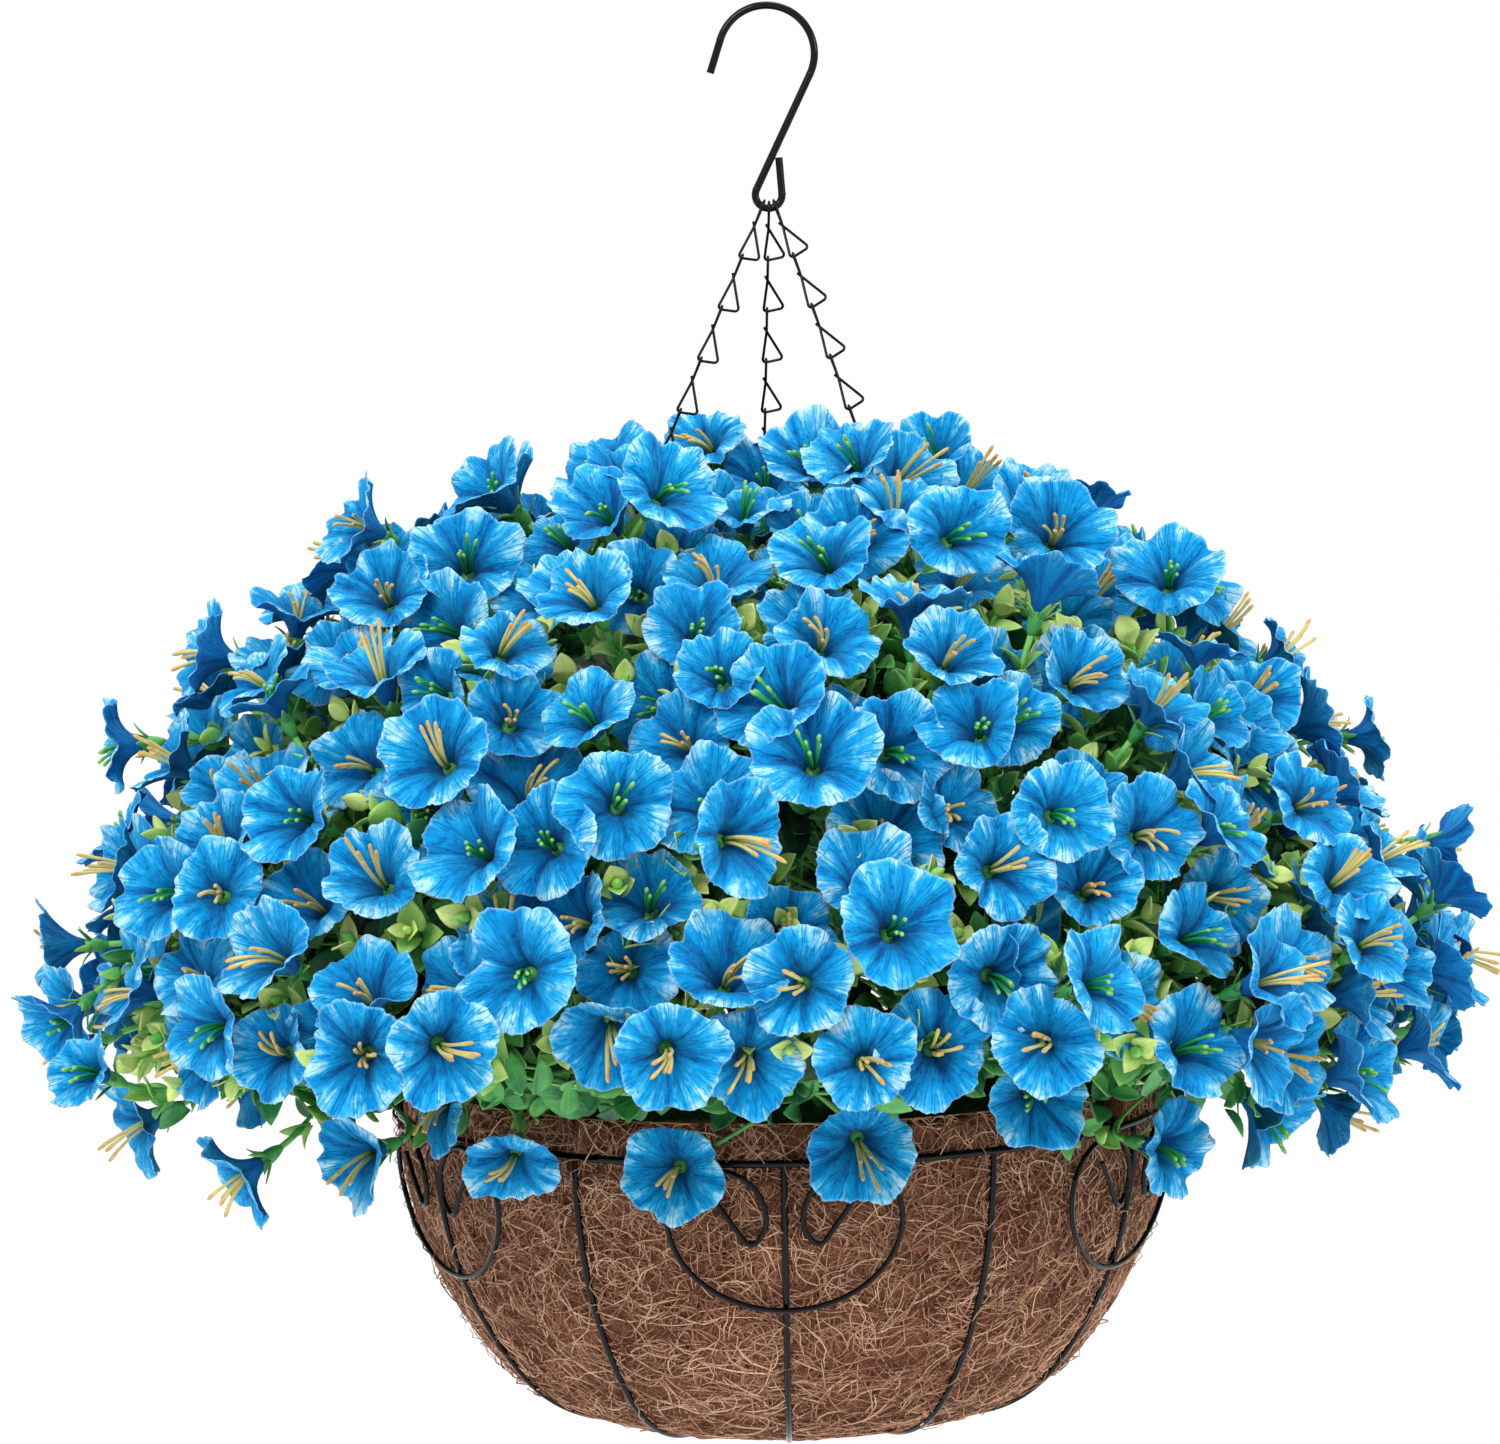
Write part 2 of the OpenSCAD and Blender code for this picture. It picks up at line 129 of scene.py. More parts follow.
# %% Make a piece from arrays
def make_piece(name, points, quads, tris, marks, finish, body="basket"):
    mesh = bpy.data.meshes.new(name)
    corners = np.concatenate([np.ravel(quads), np.ravel(tris)]).astype(np.int32)
    starts = np.concatenate([np.arange(len(quads)) * 4,
                             len(quads) * 4 + np.arange(len(tris)) * 3]).astype(np.int32)
    mesh.vertices.add(len(points))
    mesh.loops.add(len(corners))
    mesh.polygons.add(len(starts))
    lifted = np.asarray(points) + [0, 0, RIM_Z]
    mesh.vertices.foreach_set("co", (lifted * MM).astype(np.float32).ravel())
    mesh.loops.foreach_set("vertex_index", corners)
    mesh.polygons.foreach_set("loop_start", starts)
    mesh.polygons.foreach_set("use_smooth", np.ones(len(starts), bool))
    for mark, values in marks.items():
        layer = mesh.attributes.new(mark, "FLOAT", "POINT")
        layer.data.foreach_set("value", np.broadcast_to(values, len(points)).astype(np.float32))
    mesh.update(calc_edges=True)
    mesh.materials.append(finish)
    piece = placed(name, mesh)
    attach(piece, body)
    return piece


# %% Points round an axis
def turned(radius, turn, height):
    """Points at that radius and height, turned round the upright axis by turn radians."""
    places = (radius * np.cos(turn), radius * np.sin(turn), height)
    return np.stack(np.broadcast_arrays(*places), -1)


def polar(angle, radius, height):
    """The same for one point, with its angle in degrees."""
    return np.array([radius * math.cos(math.radians(angle)),
                     radius * math.sin(math.radians(angle)), height])


def turned_gap(turn, middle):
    """How far each turn is from the middle one, from half a turn back to half a turn on."""
    return (turn - middle + math.pi) % TAU - math.pi


def between(first, second, turn):
    """Unit spokes in the plane of each first and second, turned from first by those angles."""
    return (first[:, None] * np.cos(turn)[..., None]
            + second[:, None] * np.sin(turn)[..., None])


def cubic(t):
    """The weights at t of the four points of a cubic curve."""
    return (1 - t) ** 3, 3 * t * (1 - t) ** 2, 3 * t * t * (1 - t), t ** 3


def nearest(places, others):
    """Distance from each place to the nearest of the others."""
    return np.min(np.linalg.norm(places[:, None] - others[None], axis=2), axis=1)


# %% Faces of a lattice, and of many tubes
def lattice(rows, columns, wrap_rows=False):
    """Quads of rows x columns points, closed round the columns and, if asked, the rows."""
    down = np.arange(rows if wrap_rows else rows - 1)[:, None]
    across = np.arange(columns)[None, :]
    below, beside = (down + 1) % rows, (across + 1) % columns
    corners = [down * columns + across, down * columns + beside,
               below * columns + beside, below * columns + across]
    return np.stack(np.broadcast_arrays(*corners), -1).reshape(-1, 4)


def repeat_faces(faces, count, stride):
    """The same faces for each of count copies, whose points follow each other."""
    return (faces[None] + (np.arange(count) * stride)[:, None, None]).reshape(-1, faces.shape[1])


def capped(rings):
    """rings is (count, rows, sides, 3). Returns points, quads and tris of closed tubes."""
    count, rows, sides, _ = rings.shape
    ends = np.stack([rings[:, 0].mean(1), rings[:, -1].mean(1)], 1)
    points = np.concatenate([rings.reshape(count, rows * sides, 3), ends], 1)
    here = np.arange(sides)
    beside = (here + 1) % sides
    first, last = rows * sides, rows * sides + 1
    top = (rows - 1) * sides
    tris = np.concatenate([np.stack([beside, here, np.full(sides, first)], 1),
                           np.stack([top + here, top + beside, np.full(sides, last)], 1)])
    stride = rows * sides + 2
    return (points.reshape(-1, 3), repeat_faces(lattice(rows, sides), count, stride),
            repeat_faces(tris, count, stride))


def spread(values, rows, sides):
    """Marks given per tube, or per tube and row, laid out like the points of capped()."""
    values = np.asarray(values, float)
    if values.ndim == 1:
        values = np.repeat(values[:, None], rows, 1)
    rings = np.repeat(values[:, :, None], sides, 2).reshape(len(values), rows * sides)
    return np.concatenate([rings, values[:, :1], values[:, -1:]], 1).ravel()


# %% Sweep round wires and stems along their routes
def unit(vectors):
    return vectors / np.maximum(np.linalg.norm(vectors, axis=-1, keepdims=True), 1e-9)


def sweep(routes, radii, sides):
    """routes is (count, rows, 3) and radii (count, rows). Returns rings for capped()."""
    tangents = unit(np.gradient(routes, axis=1))
    helper = np.where(np.abs(tangents[:, 0, 2:]) > 0.9, [[1.0, 0, 0]], [[0, 0, 1.0]])
    across = unit(np.cross(tangents[:, 0], helper))
    rings = []
    turn = np.arange(sides) * TAU / sides
    for row in range(routes.shape[1]):
        tangent = tangents[:, row]
        across = unit(across - (across * tangent).sum(-1, keepdims=True) * tangent)
        aside = np.cross(tangent, across)
        spokes = between(across, aside, turn)
        rings.append(routes[:, row, None] + spokes * radii[:, row, None, None])
    return np.stack(rings, 1)


def tubes(routes, radii, sides, **marks):
    """Closed tubes along the routes. Each mark is one number, or one for each tube or row."""
    count, rows, _ = routes.shape
    laid_out = {name: values if np.isscalar(values) else spread(values, rows, sides)
                for name, values in marks.items()}
    rings = sweep(routes, np.broadcast_to(radii, (count, rows)), sides)
    return (*capped(rings), laid_out)


def joined(parts):
    """Several (points, quads, tris, marks) as one."""
    points, quads, tris, marks, start = [], [], [], {}, 0
    for some_points, some_quads, some_tris, some_marks in parts:
        points.append(some_points)
        quads.append(some_quads + start)
        tris.append(some_tris + start)
        start += len(some_points)
        for mark, values in some_marks.items():
            marks.setdefault(mark, []).append(np.broadcast_to(values, len(some_points)))
    return (np.concatenate(points), np.concatenate(quads), np.concatenate(tris),
            {mark: np.concatenate(values) for mark, values in marks.items()})


# %% [markdown]
# ## Finishes
# Every finish is a Principled shader with its colour, and where it helps its roughness and
# bump, worked out from noise and from the marks on the points. Small helpers keep the node
# trees readable: add() makes a node and links its inputs, and the others stand on it.

# %% Helpers for node materials
def new_finish(name, **values):
    material = bpy.data.materials.new(name)
    material.use_nodes = True
    shader = material.node_tree.nodes["Principled BSDF"]
    for socket, value in values.items():
        shader.inputs[socket.replace("_", " ")].default_value = value
    return material


def add(finish, kind, inputs=None, output=0, **settings):
    """Adds a node, sets it up, links or fills its inputs, and returns one of its outputs."""
    node = finish.node_tree.nodes.new("ShaderNode" + kind)
    for setting, value in settings.items():
        setattr(node, setting, value)
    for socket, value in (inputs or {}).items():
        if isinstance(value, bpy.types.NodeSocket):
            finish.node_tree.links.new(value, node.inputs[socket])
        else:
            node.inputs[socket].default_value = value
    return node.outputs[output]


def mark(finish, name):
    return add(finish, "Attribute", output="Fac", attribute_name=name)


def seen(*colour):
    """A colour as seen on a screen, 0 to 255, as the light it stands for."""
    shares = [value / 255 for value in colour]
    return [s / 12.92 if s <= 0.04045 else ((s + 0.055) / 1.055) ** 2.4 for s in shares] + [1]


def ramp(finish, factor, stops):
    """stops are (place, red, green, blue), with the colours as seen() takes them."""
    node = finish.node_tree.nodes.new("ShaderNodeValToRGB")
    finish.node_tree.links.new(factor, node.inputs[0])
    elements = node.color_ramp.elements
    while len(elements) < len(stops):
        elements.new(0.5)
    for element, (place, *colour) in zip(elements, stops):
        element.position = place
        element.color = seen(*colour)
    return node.outputs[0]


def maths(finish, operation, first, second=0.0, third=0.0):
    return add(finish, "Math", {0: first, 1: second, 2: third}, operation=operation)


def times(finish, first, second):
    return maths(finish, "MULTIPLY", first, second)


def scaled(finish, value, share, base):
    """base plus that share of the value."""
    return maths(finish, "MULTIPLY_ADD", value, share, base)


def shifted(finish, base, wave, share, middle=0.5):
    """base moved by that share of how far the wave is from its middle."""
    return scaled(finish, maths(finish, "SUBTRACT", wave, middle), share, base)


def ridged(finish, wave, width):
    """1 where the noise crosses its middle, and 0 where it is further off than width."""
    away = maths(finish, "ABSOLUTE", maths(finish, "SUBTRACT", wave, 0.5))
    return fade(finish, away, 0.0, width, 1.0, 0.0)


def fade(finish, value, start, end, first=0.0, last=1.0):
    """Goes from first to last while the value goes from start to end."""
    return add(finish, "MapRange", {"Value": value, "From Min": start, "From Max": end,
                                    "To Min": first, "To Max": last})


def blend(finish, factor, first, second):
    return add(finish, "Mix", {0: factor, 6: first, 7: second}, output=2, data_type="RGBA")


def noise(finish, place, scale, detail=3.0, roughness=0.55, stretch=None):
    if stretch:
        place = add(finish, "Mapping", {"Vector": place, "Scale": stretch})
    return add(finish, "TexNoise", {"Vector": place, "Scale": scale, "Detail": detail,
                                    "Roughness": roughness})


def drive(finish, socket, value):
    finish.node_tree.links.new(
        value, finish.node_tree.nodes["Principled BSDF"].inputs[socket])


def bumped(finish, height, strength, distance):
    """Bump of that height in metres, on the finish's own shader."""
    drive(finish, "Normal", add(finish, "Bump", {
        "Height": height, "Strength": strength, "Distance": distance}))


def place_of(finish):
    return add(finish, "TexCoord", output="Object")


def put_on_nodes(finish, chosen):
    """The finish on the CAD nodes whose names are chosen. Their meshes stay as they are."""
    names = [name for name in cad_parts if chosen(name)]
    for name in names:
        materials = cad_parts[name].data.materials
        materials.clear()
        materials.append(finish)
    print(finish.name, "on", len(names), "nodes")


# %% [markdown]
# ## Black coated wire
# The hook, chains, rim, ribs and scrolls are steel wire with a glossy black coat. The coat
# is never quite even: it pools a little, so the gloss changes along the wire, and it has a
# faint navy tint.

# %% Wire finish on the CAD nodes
def wire_finish():
    finish = new_finish("black_wire", Specular_IOR_Level=0.2)
    place = place_of(finish)
    pooled = noise(finish, place, 90, detail=4)
    grain = noise(finish, place, 700, detail=2)
    drive(finish, "Base Color", ramp(finish, pooled, [
        (0.3, 1, 1, 3), (0.6, 3, 3, 6), (0.8, 7, 7, 12)]))
    drive(finish, "Roughness", scaled(finish, pooled, 0.12, 0.05))
    bumped(finish, grain, 0.12, 0.00004)
    return finish


WIRE_WORDS = ("s_hook", "chain_", "rim_clip_", "rim_ring", "rib_", "base_ring", "scroll_")
put_on_nodes(wire_finish(), lambda name: name.startswith(WIRE_WORDS))

# %% [markdown]
# ## Green plastic main stems
# The main stems are wire inside moulded plastic. They are seen only in glimpses between the
# flowers, so a mottled green with fine moulding lines along the stem is enough.

# %% Stem finish on the CAD nodes
def stem_finish():
    finish = new_finish("stem_plastic", Roughness=0.42, Specular_IOR_Level=0.5)
    place = place_of(finish)
    mottle = noise(finish, place, 60, detail=4)
    lines = noise(finish, place, 400, detail=2, stretch=(1, 1, 0.12))
    drive(finish, "Base Color", ramp(finish, mottle, [
        (0.3, 28, 62, 22), (0.55, 58, 104, 34), (0.8, 104, 140, 52)]))
    bumped(finish, lines, 0.4, 0.0004)
    return finish


put_on_nodes(stem_finish(), lambda name: "_stem" in name)

# %% [markdown]
# ## Coir finish
# Coir is pressed coconut fibre: a matted sheet of reddish brown strands, with lighter ones
# on top. The strands in the mat are drawn by stretched noise in four directions, so that
# they cross, and the mat is painted near black between them as shade in the gaps. The loose
# ones on top are real geometry that shares this finish. The mark "strand" is 0 on the mat
# and from 0.2 to 1 on a loose fibre, and picks its colour.

# %% Coir material
STRAND_TURNS = ((0.5, 0.2, 0.9), (-0.7, 0.5, 0.3), (0.2, -0.9, -0.5), (1.2, 0.4, -1.1))


def coir_finish():
    finish = new_finish("coir_fibre", Roughness=0.82, Specular_IOR_Level=0.25)
    place = place_of(finish)
    strand = mark(finish, "strand")
    patches = noise(finish, place, 30, detail=4)
    crossings = 0.0
    for turn in STRAND_TURNS:
        along = add(finish, "Mapping", {"Vector": place, "Rotation": turn,
                                        "Scale": (1, 1, 0.13)})
        ridge = ridged(finish, noise(finish, along, 560, detail=2.5), 0.1)
        crossings = maths(finish, "MAXIMUM", crossings, ridge)
    # Where no strand crosses, the mat is dark and low in the bump: painted shade in the gaps
    # between strands. The patches add a random tone.
    mat = scaled(finish, crossings, 0.55, scaled(finish, patches, 0.5, -0.08))
    mat_colour = ramp(finish, mat, [
        (0.05, 26, 12, 8), (0.35, 70, 39, 27), (0.65, 140, 88, 63), (0.95, 202, 144, 112)])
    tone = scaled(finish, patches, 0.4, maths(finish, "SUBTRACT", strand, 0.2))
    strand_colour = ramp(finish, tone, [
        (0.0, 62, 34, 24), (0.25, 116, 72, 52), (0.55, 188, 132, 102), (1.0, 244, 200, 166)])
    loose = maths(finish, "GREATER_THAN", strand, 0.1)
    drive(finish, "Base Color", blend(finish, loose, mat_colour, strand_colour))
    bumped(finish, scaled(finish, patches, 0.6, crossings), 0.8, 0.0009)
    return finish


coir = coir_finish()

# %% [markdown]
# ## Coir liner
# The liner is a moulded bowl of coir about 8 mm thick. It could be a revolved section with
# a Displace modifier, but a shell worked out row by row lets the lip stay ragged, the mat
# stay lumpy and the three notches for the chains stay open. The section goes up the inside
# from the middle of the bottom, over the lip, and back down the outside.

# %% The bowl's section
LINER_T = 8.0
SHOULDER = math.radians(40)
SHOULDER_R = 60.0
CHAIN_ANGLES = (190, 95, -36)
shoulder_centre = (RIM_R - SHOULDER_R) * np.array([math.cos(SHOULDER), -math.sin(SHOULDER)])


def bowl_wall(share, inset):
    """(radius, height) on the bowl, inset from the ribs' line: 0 at the rim, 1 at the middle."""
    big = RIM_R - inset
    small = SHOULDER_R - inset
    lengths = np.array([big * SHOULDER, small * (math.pi / 2 - SHOULDER), shoulder_centre[0]])
    along = np.asarray(share) * lengths.sum()
    first = np.clip(along / big, 0, SHOULDER)
    second = SHOULDER + np.clip((along - lengths[0]) / small, 0, math.pi / 2 - SHOULDER)
    third = np.clip(along - lengths[0] - lengths[1], 0, lengths[2])
    on_sphere = big * np.stack([np.cos(first), -np.sin(first)], -1)
    on_turn = (shoulder_centre + small * np.stack([np.cos(second), -np.sin(second)], -1)
               - np.stack([third, 0 * third], -1))
    return np.where((along <= lengths[0])[..., None], on_sphere, on_turn)


def lumps(points, size, seed):
    """Smooth bumps from a few crossing waves, from about -1 to 1, the same each run."""
    draw = np.random.default_rng(seed)
    total = np.zeros(points.shape[:-1])
    for _ in range(9):
        direction = unit(draw.normal(size=3))
        total += np.sin(points @ direction * TAU / (size * draw.uniform(0.6, 1.6))
                        + draw.uniform(0, TAU))
    return total / 4


# %% Build the liner
LINER_COLUMNS = 360
LINER_INSET = RIM_R - LINER_R
WALL_ROWS, LIP_ROWS, WALL_END = 46, 5, 0.985
NOTCH_HALF = 9.0
NOTCH_LOW = -5.0
NOTCH_SOFTNESS = 1.1


def lip_height(turn):
    """Height of the lip: ragged, with a soft notch at each chain."""
    ragged = 1.3 * np.sin(turn * 7 + 1) + 0.9 * np.sin(turn * 17) + 0.6 * np.sin(turn * 41 + 2)
    height = LINER_LIP - 1.5 + ragged * 0.8
    for angle in CHAIN_ANGLES:
        gap = np.abs(turned_gap(turn, math.radians(angle))) * RIM_R
        open_share = 1 / (1 + np.exp((gap - NOTCH_HALF) / NOTCH_SOFTNESS))
        height = height + (NOTCH_LOW - height) * open_share
    return height


def liner_side(lip, inset):
    """Rows of (radius, height) round one side of the liner, from the lip to the middle."""
    upper = [(RIM_R - inset, lip * share) for share in np.linspace(1, 0, LIP_ROWS + 1)[:-1]]
    wall = [(radius, np.minimum(height, np.minimum(lip, 0)))
            for radius, height in bowl_wall(np.linspace(0, WALL_END, WALL_ROWS), inset)]
    return upper + wall


def liner_piece():
    turn = np.arange(LINER_COLUMNS) * TAU / LINER_COLUMNS
    lip = lip_height(turn)
    inside = liner_side(lip, LINER_INSET + LINER_T)
    outside = liner_side(lip, LINER_INSET)
    points = np.stack([turned(radius, turn, height)
                       for radius, height in inside[::-1] + outside])
    outward = unit(points * [1, 1, 0.6])
    bulge = 0.8 * lumps(points, 24, 5) + 0.5 * lumps(points, 7, 6) + 0.28 * lumps(points, 3, 7)
    points, quads, tris = capped((points + outward * (bulge[..., None] - 0.6))[None])
    return make_piece("coir_mat", points, quads[:, ::-1], tris[:, ::-1], {"strand": 0.0}, coir)


coir_mat = liner_piece()
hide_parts("coir_liner")
print("coir mat", len(coir_mat.data.polygons), "faces")

# %% [markdown]
# ## Loose coir fibres
# What makes coir look like coir is the top layer of single fibres, one to three centimetres
# long, curling over and under their neighbours, with a fringe along the lip and a few strays
# that stand off. A hair system would do on screen, but it doesn't leave Blender as a mesh,
# so each fibre is a thin three-sided tube bent along the bowl.

# %% Lay the fibres
FIBRE_COUNT = 17000
FIBRE_ROWS = 6
FIBRE_SIDES = 3
FIBRE_SECTORS = 6
STRAY_SHARE = 0.05
FRINGE_SHARE = 0.055
WALL_LENGTH = 250.0
HIGHEST, LOWEST = -0.058, 0.97


def on_bowl(share, turn, lift):
    """Points on the liner's outside at that share down the wall, lifted by some millimetres."""
    wall = bowl_wall(np.clip(share, 0, 0.99), LINER_INSET - lift.mean())
    above = np.clip(-share, 0, 1) * WALL_LENGTH
    radius = wall[..., 0] + (lift - lift.mean())
    return turned(radius, turn, np.where(share < 0, above, wall[..., 1]))


def fibre_routes(draw):
    """Curling routes over the bowl: a heading that wanders, walked in short steps."""
    count = FIBRE_COUNT
    share = 1 - np.sqrt(draw.uniform(0, 1, count)) * 1.06
    share = np.where(share < -FRINGE_SHARE, draw.uniform(-0.05, 0.3, count), share)
    turn = draw.uniform(0, TAU, count)
    heading = draw.uniform(0, TAU, count)
    bend = draw.normal(0, 0.38, count)
    step = draw.uniform(2.2, 6.0, count)
    lift = draw.uniform(0.0, 1.0, count)
    stray = draw.uniform(0, 1, count) < STRAY_SHARE
    rows = []
    for row in range(FIBRE_ROWS):
        wave = np.sin(row / (FIBRE_ROWS - 1) * math.pi)
        height = lift * 0.7 + 0.25 + wave * np.where(stray, draw.uniform(1.5, 4.5, count), 0.5)
        rows.append((share.copy(), turn.copy(), height))
        radius = np.maximum(bowl_wall(np.clip(share, 0, LOWEST), LINER_INSET)[:, 0], 12)
        share = np.clip(share + np.cos(heading) * step / WALL_LENGTH, HIGHEST, LOWEST)
        turn = turn + np.sin(heading) * step / radius
        heading = heading + bend + draw.normal(0, 0.22, count)
    return np.stack([on_bowl(s, t, h) for s, t, h in rows], 1), draw.uniform(0.2, 1, count)


def keep_out_of_notches(routes, tones):
    angle = np.arctan2(routes[..., 1], routes[..., 0])
    inside = np.zeros(len(routes), bool)
    for chain in CHAIN_ANGLES:
        gap = np.abs(turned_gap(angle, math.radians(chain))) * RIM_R
        inside |= ((gap < NOTCH_HALF) & (routes[..., 2] > NOTCH_LOW)).any(1)
    return routes[~inside], tones[~inside]


draw = np.random.default_rng(31)
routes, tones = keep_out_of_notches(*fibre_routes(draw))
start_turn = np.arctan2(routes[:, 0, 1], routes[:, 0, 0]) % TAU
for sector in range(FIBRE_SECTORS):
    picked = (start_turn // (TAU / FIBRE_SECTORS)).astype(int) == sector
    thickness = 0.17 + 0.2 * draw.uniform(0, 1, picked.sum()) ** 1.5
    taper = 1 - 0.5 * np.abs(np.linspace(-1, 1, FIBRE_ROWS)) ** 3
    fibres = tubes(routes[picked], thickness[:, None] * taper, FIBRE_SIDES,
                   strand=tones[picked])
    piece = make_piece(f"coir_fibres_{sector + 1}", *fibres, coir)
print("fibres", len(routes))

# %% [markdown]
# ## Foam block
# The stems are pushed into a block of dry foam that fills the liner. It is hidden under the
# leaves, yet it is there when someone looks down between them. It is a turned shape with a
# slightly crumbled top, and its pores are in the finish, with painted shade darkening the
# middle of each pore.

# %% Foam finish and piece
FOAM_GAP = 5.0
FOAM_COLUMNS = 96


def foam_finish():
    finish = new_finish("foam", Roughness=0.95, Specular_IOR_Level=0.1)
    place = place_of(finish)
    pores = add(finish, "TexVoronoi", {"Vector": place, "Scale": 900})
    dust = noise(finish, place, 70, detail=5)
    # Each pore is darker in its middle, where the bump sinks: painted shade in the pores. The dust
    # noise adds a random tone.
    tone = scaled(finish, pores, 0.5, times(finish, dust, 0.6))
    drive(finish, "Base Color", ramp(finish, tone, [
        (0.2, 20, 38, 24), (0.5, 40, 66, 40), (0.85, 70, 96, 58)]))
    bumped(finish, pores, 0.9, 0.0006)
    return finish


def foam_piece():
    turn = np.arange(FOAM_COLUMNS) * TAU / FOAM_COLUMNS
    inset = LINER_INSET + LINER_T + 1.2
    top = LINER_LIP - FOAM_GAP
    wall = bowl_wall(np.linspace(0, 0.97, 24), inset)
    crown = [(r * (RIM_R - inset), top) for r in (0.05, 0.3, 0.55, 0.8, 0.95)]
    section = np.array(crown + [(RIM_R - inset, top - 2.5)] + list(map(tuple, wall)))
    rings = turned(section[:, :1], turn, section[:, 1:])
    rings[..., 2] += np.where(rings[..., 2] > 0, 0.8 * lumps(rings, 16, 3) - 0.8, 0)
    points, quads, tris = capped(rings[None])
    return make_piece("foam_fill", points, quads[:, ::-1], tris[:, ::-1], {}, foam_finish())


foam_fill = foam_piece()
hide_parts("foam_block")
print("foam", len(foam_fill.data.polygons), "faces")

# %% [markdown]
# ## Where the flowers stand
# The head is a flattened dome, wider than the bowl, that hangs lower at the sides than in
# front. Real sprays fill it unevenly, so an even grid would look wrong. Places are drawn at
# random over the dome's surface and kept only if no flower is closer than a given spacing.
# Each flower then sits a little deeper or higher than its neighbours, so that the petals
# overlap instead of cutting through each other.

# %% The dome
DOME = np.array([(0, 240), (45, 239), (82, 233), (116, 221), (147, 204), (178, 182),
                 (206, 156), (230, 126), (248, 96), (259, 66), (263, 38), (257, 8),
                 (242, -16), (224, -36), (208, -48)], float)
DOME_SHIFT = np.array([-11.0, 0, 0])
FRONT_LOW, SIDE_LOW = 50.0, 26.0


SLOPE_REACH = 9


def dome_at(share):
    """(radius, height) and outward slope on the dome: share 0 is the top, 1 the lowest edge."""
    steps = np.linalg.norm(np.diff(DOME, axis=0), axis=1)
    along = np.concatenate([[0], np.cumsum(steps)])
    where = np.asarray(share) * along[-1]
    spot, ahead, behind = (
        np.stack([np.interp(np.clip(where + step, 0, along[-1]), along, DOME[:, k])
                  for k in (0, 1)], -1)
        for step in (0, SLOPE_REACH, -SLOPE_REACH))
    slope = unit(ahead - behind)
    return spot, np.stack([-slope[..., 1], slope[..., 0]], -1)


def lowest(turn):
    """The lowest a flower's middle may be: high in front and behind, low at the sides."""
    side = np.clip((0.88 - np.abs(np.sin(turn))) / 0.36, 0, 1)
    side = side * side * (3 - 2 * side)
    return FRONT_LOW + (SIDE_LOW - FRONT_LOW) * side


def on_dome(share, turn):
    spot, facing = dome_at(share)
    return (turned(spot[..., 0], turn, spot[..., 1]) + DOME_SHIFT,
            turned(facing[..., 0], turn, facing[..., 1]))


def chain_gap(places):
    """Distance from each place to the nearest chain."""
    best = np.full(len(places), 1e9)
    for angle in CHAIN_ANGLES:
        foot = polar(angle, RIM_R, 0)
        run = np.array([0, 0, CHAIN_RISE]) - foot
        share = np.clip(((places - foot) @ run) / (run @ run), 0, 1)
        best = np.minimum(best, np.linalg.norm(places - foot - share[:, None] * run, axis=1))
    return best


# %% Draw places over the dome
def scattered(draw, tries, spacing, chain_clear, others=None, other_gap=0.0):
    """Random places on the dome, no two closer than spacing, and clear of others and chains."""
    share = np.sqrt(draw.uniform(0, 1, tries))
    turn = draw.uniform(0, TAU, tries)
    spot, _ = dome_at(share)
    keep = draw.uniform(0, 1, tries) < spot[:, 0] / (share * DOME[:, 0].max() + 1)
    place, normal = on_dome(share, turn)
    keep &= (place[:, 2] >= lowest(turn)) & (chain_gap(place) > chain_clear)
    place, normal = place[keep], normal[keep]
    if others is not None:
        clear = nearest(place, others) >= other_gap
        place, normal = place[clear], normal[clear]
    chosen = []
    for k in range(len(place)):
        if not chosen or np.min(np.linalg.norm(place[chosen] - place[k], axis=1)) >= spacing:
            chosen.append(k)
    return place[chosen], normal[chosen]


FLOWER_SPACING, FLOWER_FROM_CHAIN, FLOWER_TRIES = 23.4, 20.0, 14000
draw = np.random.default_rng(12)
flower_places, flower_normals = scattered(draw, FLOWER_TRIES, FLOWER_SPACING,
                                          FLOWER_FROM_CHAIN)
print("flowers on the dome", len(flower_places))

# %% [markdown]
# A few flowers hang over the rim, below the edge of the dome, and others stand clear of it
# higher up. They are listed one by one, because they soften the line of the rim and the outline.
# Of the rest, one in ten stands out on a longer stalk and is turned further round, so that
# some backs and green calyxes show.

# %% Low flowers, depth and facing
LOW_FLOWERS = (  # angle round the basket, radius, height above the rim, tilt down
    (-124, 180, -4, 20), (-103, 174, 1, 12), (-81, 176, 8, 16), (-131, 197, 20, 10),
    (-64, 204, 27, 8), (-136, 215, 3, 14), (-47, 210, 2, 12), (-148, 240, -10, 30),
    (-164, 258, 2, 20), (-170, 282, 28, 10), (-27, 205, 1, 26), (-16, 224, -3, 30),
    (58, 190, 6, 14), (84, 178, 8, 18), (121, 184, -2, 16), (138, 204, 16, 10),
    (160, 244, -6, 20))
OUTER_FLOWERS = (  # the same, for those that stand clear of the dome higher up
    (-159, 171, 232, -25), (-160, 119, 246, -45), (-169, 66, 252, -60), (75, 24, 258, -55),
    (-32, 64, 248, -40), (-31, 119, 236, -35), (-165, 228, 184, -15), (-171, 260, 146, 5),
    (-172, 288, 68, 8), (-14, 172, 204, -30), (-9, 203, 176, -25), (0, 234, 138, -12),
    (0, 266, 94, 0), (-4, 272, 54, 5))
HAND_SET = OUTER_FLOWERS + LOW_FLOWERS
HAND_SET_GAP = 30
NEIGHBOUR = 46
DEPTH_STEPS = np.array([-12.0, -4.0, 5.0, 13.0])
STAND_OUT_SHARE = 0.1
FRONT_LEAN = 0.75
WIDEST = 292


